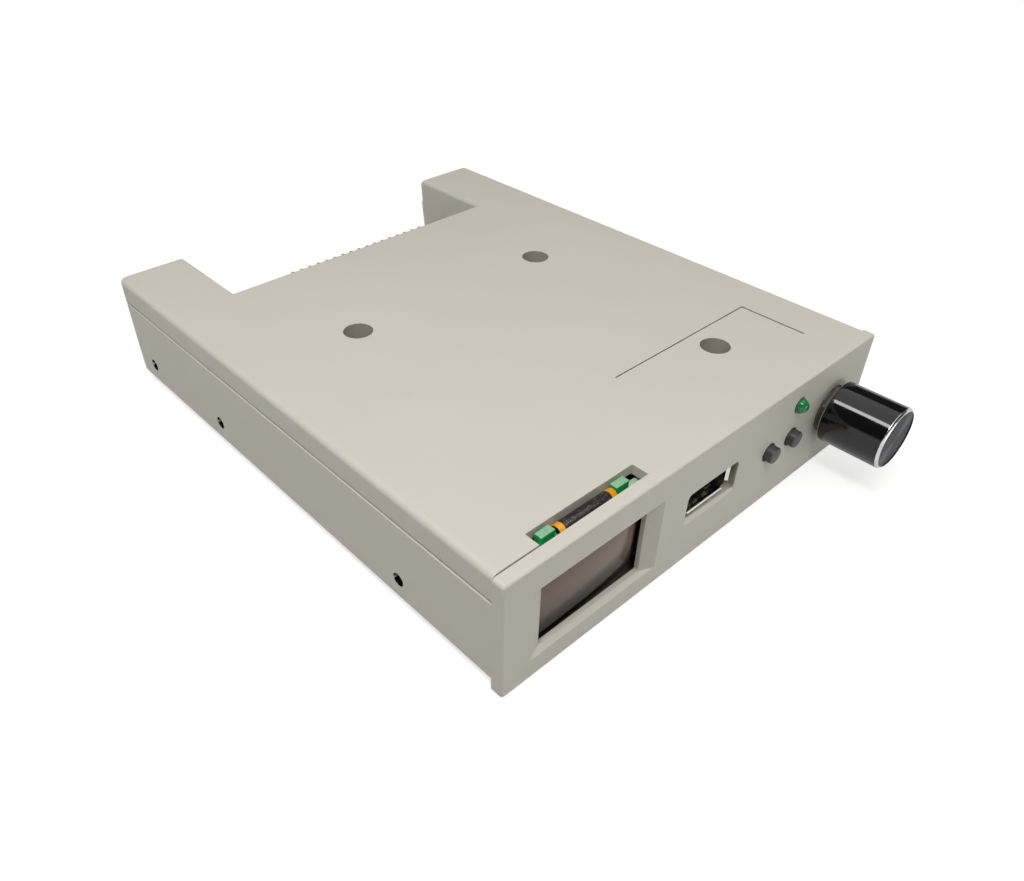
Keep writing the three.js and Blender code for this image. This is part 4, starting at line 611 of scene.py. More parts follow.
@dataclass(frozen=True)
class Finishes:
    """All the finishes of the drive."""

    # ABS, moulded, light warm grey: satin, with soft highlights along the edges.
    case: Finish = MouldedPlastic("light_grey_abs", "cdc9bd", 0.5, ior=1.53, shade="c6c2b5")
    # The same ABS in the deep screw wells and the engraved line, a little duller, its colour
    # darkened as painted shade.
    painted_shade_abs: Finish = MouldedPlastic("grey_abs_painted_shade", "aeaa9c", 0.65, ior=1.53, shade="a19d90")
    # The same ABS on the window's right-hand bevel, a little duller, its colour darkened as
    # painted shade.
    bevel: Finish = MouldedPlastic("bevel_abs_painted_shade", "bbb7ac", 0.6, ior=1.53, shade="b4b0a4")
    # Aluminium, turned and anodised gloss black.
    knob: Finish = GlossAnodised("gloss_black_anodised_aluminium", "0a0a0c", 0.09, ior=1.5)
    # The same aluminium, cut bright after anodising, at the knob's chamfer.
    chamfer: Finish = PlatedMetal("diamond_cut_aluminium", "dfe0e2", 0.22, 1.0, along=Axis.Z)
    # The knob's end, faced on a lathe under a dark anodised coat, with rays of highlight painted
    # into its colour.
    knob_face: Finish = SpunMetal(
        "face_turned_dark_aluminium", "1e1f21", 0.3, 1.0, centre=(38.75, 0.0, 13.15)
    )
    # Charcoal ABS of the push buttons.
    button: Finish = MouldedPlastic(
        "charcoal_abs", "3b3a3b", 0.42, ior=1.53, shade="2e2d2e", cloud=3.0, tone=0.6
    )
    # Glass-filled nylon and phenolic of sockets, chips and headers.
    black: Finish = MouldedPlastic(
        "black_glass_filled_nylon", "1d1d1e", 0.5, ior=1.53, shade="29292a", cloud=2.5, tone=0.7
    )
    # Natural nylon of the power connector, the rotor and the plunger.
    white: Finish = MouldedPlastic(
        "natural_nylon", "e6e2d6", 0.45, ior=1.53, shade="d8d3c4", cloud=5.0
    )
    # Main board: epoxy glass under dark green resist.
    board: Finish = SolderResist("green_solder_resist", "1c5b38", 0.35)
    # Display board: brighter resist, its sawn edges pale mint.
    display_board: Finish = SolderResist(
        "bright_green_solder_resist", "17994c", 0.35, track="1fae5c", cut_edge="94b798"
    )
    # Display glass over a dark polariser; its coating dims the reflections, and a brown-mauve
    # reflection is painted into its colour.
    glass: Finish = ScreenGlass("display_glass_on_polariser", "0d0a08", 0.07, ior=1.52)
    # Polyimide film, black with amber edges.
    film: Finish = Laminate("black_and_amber_polyimide", "151311", 0.38, ior=1.6)
    # Epoxy of the lamp.
    lamp: Finish = ClearEpoxy("clear_green_epoxy", "16874a", 0.06, ior=1.54)
    # Bright nickel plate on the socket's shell.
    nickel: Finish = PlatedMetal("bright_nickel_plate", "e4e2dc", 0.2, 1.0, tarnish="b8b6b0")
    # Zinc plate on screws, brackets and springs.
    steel: Finish = PlatedMetal("zinc_plated_steel", "b9bbbd", 0.32, 1.0, along=Axis.X)
    # Gold flash on the socket's contacts.
    gold: Finish = PlatedMetal("gold_flashed_brass", "c8b48c", 0.34, 1.0, tarnish="948a72")
    # Tin on the header's pins.
    tin: Finish = PlatedMetal("tinned_brass", "c4c3bf", 0.34, 1.0)
    # Dull nickel on the encoder's nut and washer, its grey darkened so that it passes for the
    # bezel's shade behind the knob.
    dull_nickel_shade: Finish = PlatedMetal("dull_nickel_as_knob_shade", "66635c", 0.5, 1.0, tarnish="4a4843")
    # Dark black-oxide steel on the walls of the side holes: painted shade inside them.
    hole_shade: Finish = PlatedMetal("dark_steel_as_hole_shade", "2c2c2f", 0.3, 1.0, tarnish="1b1b1d")
    # Drawn aluminium of the capacitors' cans.
    can: Finish = PlatedMetal("drawn_aluminium", "c0c1c3", 0.3, 1.0, along=Axis.Z)
    # Vinyl of the ribbon cables.
    wire: Finish = MouldedPlastic(
        "grey_vinyl", "8a8d90", 0.55, ior=1.53, shade="7b7e81", cloud=4.0
    )


class Shape:
    """A mesh in the making, in the row frame."""

    def __init__(self) -> None:
        """Starts an empty mesh."""
        self.mesh = bmesh.new()

    def box(self, low: Point, high: Point) -> None:
        """Adds a block.

        Args:
            low: Lowest corner, in millimetres.
            high: Highest corner, in millimetres.
        """
        corners = [
            self.mesh.verts.new(spot(x, y, z))
            for x in (low[0], high[0])
            for y in (low[1], high[1])
            for z in (low[2], high[2])
        ]
        sides = [
            (0, 1, 3, 2), (4, 6, 7, 5), (0, 4, 5, 1), (2, 3, 7, 6), (0, 2, 6, 4), (1, 5, 7, 3),
        ]
        for side in sides:
            self.mesh.faces.new([corners[i] for i in side])

    def turned(
        self,
        profile: Sequence[Pair],
        x: float,
        z: float,
        segments: int,
        finishes: Sequence[int] | None = None,
    ) -> None:
        """Adds a round piece on an axis along Y.

        Args:
            profile: Radius and place along Y, in millimetres, from one end to the other.
            x: Place of the axis.
            z: Height of the axis.
            segments: Number of sides.
            finishes: Index of the material of each band between two profile points.
        """
        rings: list[list[bmesh.types.BMVert]] = []
        for radius, along in profile:
            ring = []
            for step in range(segments if radius else 1):
                angle = math.tau * step / segments
                place = spot(x + radius * math.cos(angle), along, z + radius * math.sin(angle))
                ring.append(self.mesh.verts.new(place))
            rings.append(ring)
        for band, (near, far) in enumerate(zip(rings, rings[1:])):
            for step in range(segments):
                after = (step + 1) % segments
                corners = [near[step % len(near)], near[after % len(near)]]
                corners += [far[after % len(far)], far[step % len(far)]]
                face = self.mesh.faces.new(list(dict.fromkeys(corners)))
                if finishes:
                    face.material_index = finishes[band]

    def loft(self, loops: Sequence[Sequence[Vector]], caps: bool = True) -> None:
        """Adds a skin over closed loops of equal length.

        Args:
            loops: The loops, in metres, from one end to the other.
            caps: Whether the two ends are closed; otherwise the last loop joins the first.
        """
        rings = [[self.mesh.verts.new(place) for place in loop] for loop in loops]
        pairs = list(zip(rings, rings[1:]))
        if caps:
            self.mesh.faces.new(rings[0])
            self.mesh.faces.new(rings[-1])
        else:
            pairs.append((rings[-1], rings[0]))
        for near, far in pairs:
            for step in range(len(near)):
                after = (step + 1) % len(near)
                self.mesh.faces.new([near[step], near[after], far[after], far[step]])

    def strip(self, x: float, width: float, path: Iterable[Point]) -> None:
        """Adds a bent strip that runs along Y.

        Args:
            x: Its middle across.
            width: Its width.
            path: Its places along Y, each with the heights of its two faces.
        """
        left, right = x - width / 2, x + width / 2
        rings = []
        for y, low, high in path:
            corners = [(left, low), (right, low), (right, high), (left, high)]
            rings.append([spot(across, y, height) for across, height in corners])
        self.loft(rings)

    def soften(
        self, width: float, angle: float, kept: Callable[[Vector], bool] | None = None
    ) -> None:
        """Rounds every sharp edge of a CAD copy, in two steps.

        Args:
            width: Width of the rounding in millimetres.
            angle: Edges sharper than this, in degrees, are rounded.
            kept: Says of a corner whether the edges between such corners stay sharp.
        """
        limit = math.radians(angle)
        sharp = [
            edge
            for edge in self.mesh.edges
            if len(edge.link_faces) == 2
            and edge.calc_face_angle(0.0) > limit
            and not (kept and all(kept(corner.co) for corner in edge.verts))
        ]
        bmesh.ops.bevel(
            self.mesh,
            geom=sharp,
            offset=width * MM,
            segments=2,
            profile=0.5,
            affect="EDGES",
            clamp_overlap=True,
        )

    def crease(self, smooth: float, broad_smooth: float = 8.0, broad: float = 1.2) -> None:
        """Shades smooth across flat edges only, and crisp where two broad faces meet.

        Args:
            smooth: Edges flatter than this, in degrees, are shaded smooth.
            broad_smooth: The same between two broad faces.
            broad: Faces wider than this, in millimetres, are broad.
        """
        for face in self.mesh.faces:
            face.smooth = True
        for edge in self.mesh.edges:
            faces = edge.link_faces
            if len(faces) != 2:
                edge.smooth = False
                continue
            width = min(
                face.calc_area() / max(side.calc_length() for side in face.edges)
                for face in faces
            )
            limit = broad_smooth if width > broad * MM else smooth
            edge.smooth = math.degrees(edge.calc_face_angle(0.0)) < limit

    def data(self, name: str, smooth: float = 32.0, outward: bool = True) -> bpy.types.Mesh:
        """Ends the shape as a plain mesh.

        Args:
            name: The mesh's name.
            smooth: Edges flatter than this, in degrees, are shaded smooth.
            outward: Whether its faces are turned outwards first.

        Returns:
            The mesh.
        """
        if outward:
            bmesh.ops.recalc_face_normals(self.mesh, faces=self.mesh.faces)
        self.crease(smooth)
        data = bpy.data.meshes.new(name)
        self.mesh.to_mesh(data)
        self.mesh.free()
        return data

    def piece(
        self, name: str, finishes: Iterable[Finish], smooth: float = 32.0, outward: bool = True
    ) -> bpy.types.Object:
        """Turns the shape into an object at the origin.

        Args:
            name: The piece's name.
            finishes: Its finishes, in the order of the faces' indices.
            smooth: Edges flatter than this, in degrees, are shaded smooth.
            outward: Whether its faces are turned outwards first.

        Returns:
            The new object.
        """
        return shown(name, self.data(name, smooth, outward), finishes)


def settled(
    data: bpy.types.Mesh, kind: str, inputs: dict[str, object] | None = None, **settings: object
) -> bpy.types.Mesh:
    """Runs one modifier on a mesh and keeps what it makes as a plain mesh.

    Args:
        data: The mesh that goes in.
        kind: The modifier's type name.
        inputs: A value for each named input of a Geometry Nodes tree.
        **settings: The modifier's own properties.

    Returns:
        The mesh that comes out.
    """
    holder = bpy.data.objects.new(data.name + "_source", data)
    bpy.context.scene.collection.objects.link(holder)
    modifier = holder.modifiers.new("make", kind)
    for name, value in settings.items():
        setattr(modifier, name, value)
    if inputs:
        for item in modifier.node_group.interface.items_tree:
            if item.item_type == "SOCKET" and item.in_out == "INPUT" and item.name in inputs:
                modifier[item.identifier] = inputs[item.name]
    holder.data.update()
    graph = bpy.context.evaluated_depsgraph_get()
    made = bpy.data.meshes.new_from_object(holder.evaluated_get(graph))
    holder.modifiers.remove(modifier)
    bpy.data.objects.remove(holder)
    return made


def shown(name: str, data: bpy.types.Mesh, finishes: Iterable[Finish]) -> bpy.types.Object:
    """Puts a mesh in the scene with its finishes.

    Args:
        name: The piece's name.
        data: Its mesh, in the row frame.
        finishes: Its finishes, in the order of the faces' indices.

    Returns:
        The new object.
    """
    for index, finish in enumerate(finishes):
        if index < len(data.materials):
            data.materials[index] = finish.material()
        else:
            data.materials.append(finish.material())
    piece = bpy.data.objects.new(name, data)
    bpy.context.scene.collection.objects.link(piece)
    return piece


def seat(piece: bpy.types.Object, body: Body, slot: Slot, *replaced: str) -> None:
    """Ties a finished piece to its CAD body, and hides the CAD nodes that it stands for.

    Args:
        piece: The finished piece.
        body: The body that it moves with.
        slot: Not used.
        *replaced: The CAD nodes that it stands for.
    """
    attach(piece, body.value)
    if replaced:
        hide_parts(*replaced)
    LOG.info("%s rides on %s, %d faces", piece.name, body.value, len(piece.data.polygons))


def dress(finish: Finish, *nodes: str) -> None:
    """Gives CAD nodes that stay as they are a finish.

    Args:
        finish: The finish.
        *nodes: The nodes' names.
    """
    material = finish.material()
    for name in nodes:
        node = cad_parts[name]
        if not node.material_slots:
            node.data.materials.append(material)
        for holder in node.material_slots:
            holder.material = material
        LOG.info("%s keeps its CAD shape, in %s", name, finish.name)


def cad_shape(node: str, weld: float = 0.002, flat: float = 0.4) -> Shape:
    """Copies a CAD node into a mesh with welded corners and flat faces made whole.

    Args:
        node: The node's name.
        weld: Corners closer than this, in millimetres, become one.
        flat: Faces that meet at less than this, in degrees, become one.

    Returns:
        The copy.
    """
    shape = Shape()
    shape.mesh.from_mesh(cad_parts[node].data)
    bmesh.ops.remove_doubles(shape.mesh, verts=shape.mesh.verts, dist=weld * MM)
    bmesh.ops.dissolve_limit(
        shape.mesh,
        angle_limit=math.radians(flat),
        verts=shape.mesh.verts,
        edges=shape.mesh.edges,
        use_dissolve_boundaries=False,
    )
    return shape


@dataclass
class RowTree:
    """Geometry Nodes: repeats the mesh that goes in, in a row."""

    name: str = "row_of_copies"

    def build(self) -> bpy.types.NodeTree:
        """Builds the tree, once.

        Returns:
            A tree with inputs for the count, the step and the material.
        """
        found = bpy.data.node_groups.get(self.name)
        if found is not None:
            return found
        tree = bpy.data.node_groups.new(self.name, "GeometryNodeTree")
        for name, way, kind in (
            ("Geometry", "INPUT", "NodeSocketGeometry"),
            ("Count", "INPUT", "NodeSocketInt"),
            ("Step", "INPUT", "NodeSocketVector"),
            ("Finish", "INPUT", "NodeSocketMaterial"),
            ("Geometry", "OUTPUT", "NodeSocketGeometry"),
        ):
            tree.interface.new_socket(name, in_out=way, socket_type=kind)
        given = add_node(tree, "NodeGroupInput").outputs
        places: Inputs = {"Count": given["Count"], "Offset": given["Step"]}
        row = add_node(tree, "GeometryNodeMeshLine", places)
        seats: Inputs = {"Points": row, "Instance": given["Geometry"]}
        copies = add_node(tree, "GeometryNodeInstanceOnPoints", seats)
        whole = add_node(tree, "GeometryNodeRealizeInstances", {"Geometry": copies})
        coat: Inputs = {"Geometry": whole, "Material": given["Finish"]}
        painted = add_node(tree, "GeometryNodeSetMaterial", coat)
        add_node(tree, "NodeGroupOutput", {"Geometry": painted})
        return tree

    def repeat(
        self, name: str, shape: Shape, count: int, step: float, finish: Finish
    ) -> bpy.types.Object:
        """Repeats a shape along X, as one plain mesh.

        Args:
            name: Name of the piece.
            shape: The first copy, in its own place.
            count: Number of copies.
            step: From one copy to the next, in millimetres.
            finish: The finish of all copies.

        Returns:
            The new object.
        """
        inputs = {"Count": count, "Step": (step * MM, 0.0, 0.0), "Finish": finish.material()}
        made = settled(shape.data(name + "_one"), "NODES", inputs, node_group=self.build())
        made.name = name
        return shown(name, made, [finish])


@dataclass
class CaseShells:
    """Tray with the bezel, and the cover: the CAD shapes with softened edges."""

    finishes: Finishes
    edge: float = 0.12
    sharp: float = 38.0
    smooth: float = 30.0
    top: float = 25.4
    bezel_back: float = 2.4
    cover_front: float = 2.7
    slot_right: float = -16.9
    hairline: float = 0.006
    half_width: float = 50.5
    rear: float = 124.0
    notch_half: float = 35.0
    tray_top: float = 19.35
    rim_height: float = 19.65
    rim_set_back: float = 0.24
    wells: tuple[Pair, ...] = ((-24.85, 69.85), (24.85, 69.85), (23.2, 18.7))
    well_radius: float = 3.0
    holes: tuple[float, ...] = (25.8, 85.8, 115.8)
    hole_height: float = 6.6
    hole_radius: float = 1.35
    hole_depth: float = 3.0
    bevel_span: Pair = (-18.3, -12.4)
    bevel_back: float = 1.0
    bevel_normal: Pair = (-0.1, -0.8)
    line_rear: float = 24.25
    line_right: float = 39.95
    line_left: float = 0.0
    line_front: float = 9.3
    line_half: float = 0.35
    line_floor: Pair = (0.1, 0.35)
    line_deeper: float = 0.5
    line_wider: float = 0.15
    line_reach: float = 1.0
    recess_depth: float = 0.75
    recess_heights: Pair = (9.5, 16.5)
    throat_half: float = 6.4
    throat_bottom: float = 10.55
    throat_round: float = 0.5
    pocket_half: float = 6.85
    pocket_bottom: float = 10.1
    mouth_half: float = 7.35
    mouth_low: float = 11.15
    mouth_drop: float = 0.6
    wall_depth: float = 0.35
    wall_room: float = 1.0
    side_room: Pair = (0.72, 1.3)
    foot_room: float = 0.48
    window_left: Pair = (-44.8, -41.3)
    window_stretch: Pair = (0.4, 0.85)
    window_heights: Pair = (4.3, 19.9)

    def build(self) -> None:
        """Builds both shells."""
        tray = cad_shape("lower_case")
        self.open_recess(tray)
        self.widen_window(tray)
        self.complete(tray, "tray_shell", "lower_case", self.tray_patch)
        cover = cad_shape("top_cover")
        self.close_seam(cover)
        self.complete(cover, "cover_shell", "top_cover", self.cover_patch)

    def complete(
        self, shape: Shape, name: str, node: str, patch: Callable[[bmesh.types.BMFace], Patch]
    ) -> None:
        """Softens a shell's edges, marks its patches and seats it.

        Args:
            shape: The shell.
            name: The piece's name.
            node: The CAD node that it stands for.
            patch: Says which finish a face has.
        """
        shape.soften(self.edge, self.sharp, self.stays_sharp)
        for face in shape.mesh.faces:
            face.material_index = patch(face)
        coats = self.finishes
        plain = shape.data(name, self.smooth, outward=False)
        data = settled(plain, "WEIGHTED_NORMAL", keep_sharp=True)
        piece = shown(name, data, [coats.case, coats.painted_shade_abs, coats.hole_shade, coats.bevel])
        seat(piece, Body.HOUSING, Slot.CASE, node)

    def cover_patch(self, face: bmesh.types.BMFace) -> Patch:
        """Finds the cover's wells and its engraved line, which get darker ABS as painted shade.
        """
        x, y, z = measured(face.calc_center_median())
        away = min(math.hypot(x - left, y - back) for left, back in self.wells)
        in_well = away < self.well_radius + SLACK and z < self.top - self.edge
        dull = in_well or self.on_line(x, y) and z < self.top - FINE
        return Patch.PAINTED_SHADE if dull else Patch.PLAIN

    def tray_patch(self, face: bmesh.types.BMFace) -> Patch:
        """Finds the walls of the tray's side holes and the window's right-hand bevel, which get
        painted shade.
        """
        x, y, z = measured(face.calc_center_median())
        # The side holes' walls get dark steel as painted shade.
        if self.half_width - self.hole_depth < abs(x) < self.half_width - self.edge:
            away = min(math.hypot(y - back, z - self.hole_height) for back in self.holes)
            return Patch.INSERT if away < self.hole_radius + SLACK else Patch.PLAIN
        # The right-hand bevel gets darker ABS as painted shade.
        left, right = self.bevel_span
        side, front = self.bevel_normal
        leans = face.normal.x < side and face.normal.y < front
        bevel = left < x < right and 0.0 < y < self.bevel_back and leans
        return Patch.BEVEL if bevel else Patch.PLAIN

    def close_seam(self, shape: Shape) -> None:
        """Brings the cover to a hairline from the bezel's back, and its lower rim inwards.

        The engraved line gets deeper and wider on the way.

        Args:
            shape: The cover.
        """
        high, low = (self.top - depth for depth in self.line_floor)
        for corner in shape.mesh.verts:
            place = corner.co
            x, y, z = measured(place)
            if close(y, self.cover_front, FINE) and x > self.slot_right - SLACK:
                place.y = spot(0.0, self.bezel_back + self.hairline, 0.0).y
            if self.on_line(x, y):
                if low < z < high:
                    place.z -= self.line_deeper * MM
                if x > self.line_right and z > low:
                    place.x += self.line_wider * MM
            if not close(z, self.rim_height, FINE):
                continue
            if close(abs(x), self.notch_half):
                place.z = (self.tray_top + self.hairline) * MM
            if abs(x) > self.half_width - SLACK:
                place.x -= math.copysign(self.rim_set_back, x) * MM
            if y > self.rear - SLACK:
                place.y -= self.rim_set_back * MM

    def open_recess(self, shape: Shape) -> None:
        """Opens the socket's recess at its right end and foot, where dark gaps show.

        Args:
            shape: The tray with the bezel.
        """
        foot, roof = self.recess_heights
        for corner in shape.mesh.verts:
            place = corner.co
            x, y, z = measured(place)
            if close(y, 0.0) and abs(x) < self.mouth_half + SLACK and foot < z < self.mouth_low:
                place.z -= self.mouth_drop * MM
            across = abs(x) < self.pocket_half + SLACK * 2
            inside = across and self.pocket_bottom - SLACK * 2 < z < roof
            if not inside or y < self.recess_depth - SLACK:
                continue
            behind = y > self.recess_depth + SLACK
            if behind and not close(abs(x), self.pocket_half):
                continue
            if close(x, -self.pocket_half):
                place.x -= self.side_room[0] * MM
            elif close(x, self.pocket_half):
                place.x += self.side_room[1] * MM
                if not behind:
                    place.y = spot(0.0, self.wall_depth, 0.0).y
            elif x > self.throat_half - self.throat_round - SLACK:
                place.x += self.wall_room * MM
                place.y = spot(0.0, self.wall_depth, 0.0).y
            if z < self.throat_bottom + self.throat_round + SLACK:
                place.z -= self.foot_room * MM

    def widen_window(self, shape: Shape) -> None:
        """Brings the display window's left edge out to where the photograph shows it.

        Args:
            shape: The tray with the bezel.
        """
        foot, roof = self.window_heights
        for corner in shape.mesh.verts:
            x, y, z = measured(corner.co)
            if not (-SLACK < y < self.bezel_back + SLACK and foot < z < roof):
                continue
            for left, stretch in zip(self.window_left, self.window_stretch):
                if close(x, left):
                    corner.co.x -= stretch * MM

    def stays_sharp(self, place: Vector) -> bool:
        """Says whether a corner is on a seam of the cover or on its engraved line."""
        x, y, z = measured(place)
        on_seam = close(y, self.bezel_back, FINE) and z > self.top - SLACK
        in_notch = close(abs(x), self.notch_half) and close(z, self.tray_top)
        return on_seam or in_notch or self.on_line(x, y) and z > self.top - self.line_reach

    def on_line(self, x: float, y: float) -> bool:
        """Says whether a place, in millimetres, is on the engraved line of the cover."""
        half = self.line_half
        right, rear = self.line_right, self.line_rear
        across = close(y, rear, half) and self.line_left < x < right + half
        along = close(x, right, half) and self.line_front < y < rear + half
        return across or along


@dataclass
class Knob:
    """Turned knob: gloss black side, bright chamfer, dished and faced end."""

    finishes: Finishes
    x: float = 38.75
    z: float = 13.15
    radius: float = 6.42
    front: float = -14.35
    rear: float = -1.53
    chamfer: float = 0.45
    rear_chamfer: float = 0.25
    rim: float = 0.35
    dish: float = 0.14
    cavity_radius: float = 5.6
    cavity_end: float = -3.9
    bore_radius: float = 4.2
    bore_end: float = -12.2
    rounding: float = 0.06
    segments: int = 160

    def build(self) -> None:
        """Builds the knob and dresses the insert in its bore."""
        side, bright, face = Band.SIDE, Band.BRIGHT, Band.FACE
        flat = self.radius - self.chamfer
        rim, floor = flat - self.rim, self.front + self.dish
        bands = [
            ((0.0, floor), face),
            ((rim - self.rounding, floor), face),
            ((rim, floor - self.rounding), face),
            ((rim + self.rounding, self.front + self.rounding), face),
            ((rim + self.rounding * 2, self.front), face),
            ((flat - self.rounding, self.front), bright),
            ((flat + self.rounding, self.front + self.rounding), bright),
            ((self.radius - self.rounding, self.front + self.chamfer - self.rounding), bright),
            ((self.radius, self.front + self.chamfer + self.rounding), side),
            ((self.radius, self.rear - self.rear_chamfer), bright),
            ((self.radius - self.rear_chamfer, self.rear), side),
            ((self.cavity_radius, self.rear), side),
            ((self.cavity_radius, self.cavity_end), side),
            ((self.bore_radius, self.cavity_end), side),
            ((self.bore_radius, self.bore_end), side),
            ((0.0, self.bore_end), side),
        ]
        profile, indices = zip(*bands)
        shape = Shape()
        shape.turned(profile, self.x, self.z, self.segments, indices)
        finishes = [self.finishes.knob, self.finishes.chamfer, self.finishes.knob_face]
        seat(shape.piece("turned_knob", finishes), Body.KNOB, Slot.KNOB, "knob")
        dress(self.finishes.black, "knob_insert")
        dress(self.finishes.steel, "encoder_shaft")


@dataclass
class Buttons:
    """Two round push buttons with softened ends, and the switches behind them."""

    finishes: Finishes
    left_x: float = 17.8
    pitch: float = 7.35
    z: float = 12.75
    radius: float = 1.7
    front: float = -1.6
    edge: float = 0.25
    edge_steps: int = 4
    flange_front: float = 6.6
    flange_back: float = 7.2
    flange_radius: float = 2.4
    nub_radius: float = 1.0
    nub_tip: float = 8.05
    segments: int = 64

    def build(self) -> None:
        """Builds both buttons and dresses their switches."""
        core = self.radius - self.edge
        corner = [
            (core + self.edge * math.sin(turn), self.front + self.edge * (1 - math.cos(turn)))
            for turn in quarter(self.edge_steps)
        ]
        profile = [
            (0.0, self.front),
            *corner,
            (self.radius, self.flange_front),
            (self.flange_radius, self.flange_front),
            (self.flange_radius, self.flange_back),
            (self.nub_radius, self.flange_back),
            (self.nub_radius, self.nub_tip),
            (0.0, self.nub_tip),
        ]
        for side, body, x in (
            ("left", Body.BUTTON_LEFT, self.left_x),
            ("right", Body.BUTTON_RIGHT, self.left_x + self.pitch),
        ):
            shape = Shape()
            shape.turned(profile, x, self.z, self.segments)
            piece = shape.piece(f"push_button_{side}", [self.finishes.button])
            seat(piece, body, Slot.BUTTON, f"button_{side}")
            dress(self.finishes.black, f"switch_body_{side}")
            dress(self.finishes.steel, f"switch_cover_{side}", f"switch_dome_{side}")


@dataclass
class Lamp:
    """Round green lamp: a domed lens on a flange, and its leads."""

    finishes: Finishes
    x: float = 25.4
    z: float = 20.0
    radius: float = 1.5
    tip: float = -1.75
    flange_front: float = 2.7
    flange_back: float = 3.7
    flange_radius: float = 1.9
    dome_steps: int = 14
    segments: int = 64

    def build(self) -> None:
        """Builds the lens and dresses the leads."""
        centre = self.tip + self.radius
        profile = [
            (self.radius * math.sin(turn), centre - self.radius * math.cos(turn))
            for turn in quarter(self.dome_steps)
        ]
        profile += [
            (self.radius, self.flange_front),
            (self.flange_radius, self.flange_front),
            (self.flange_radius, self.flange_back),
            (0.0, self.flange_back),
        ]
        shape = Shape()
        shape.turned(profile, self.x, self.z, self.segments)
        piece = shape.piece("lamp_lens", [self.finishes.lamp])
        seat(piece, Body.HOUSING, Slot.LAMP, "led_lens")
        dress(self.finishes.steel, "led_lead_anode", "led_lead_cathode")


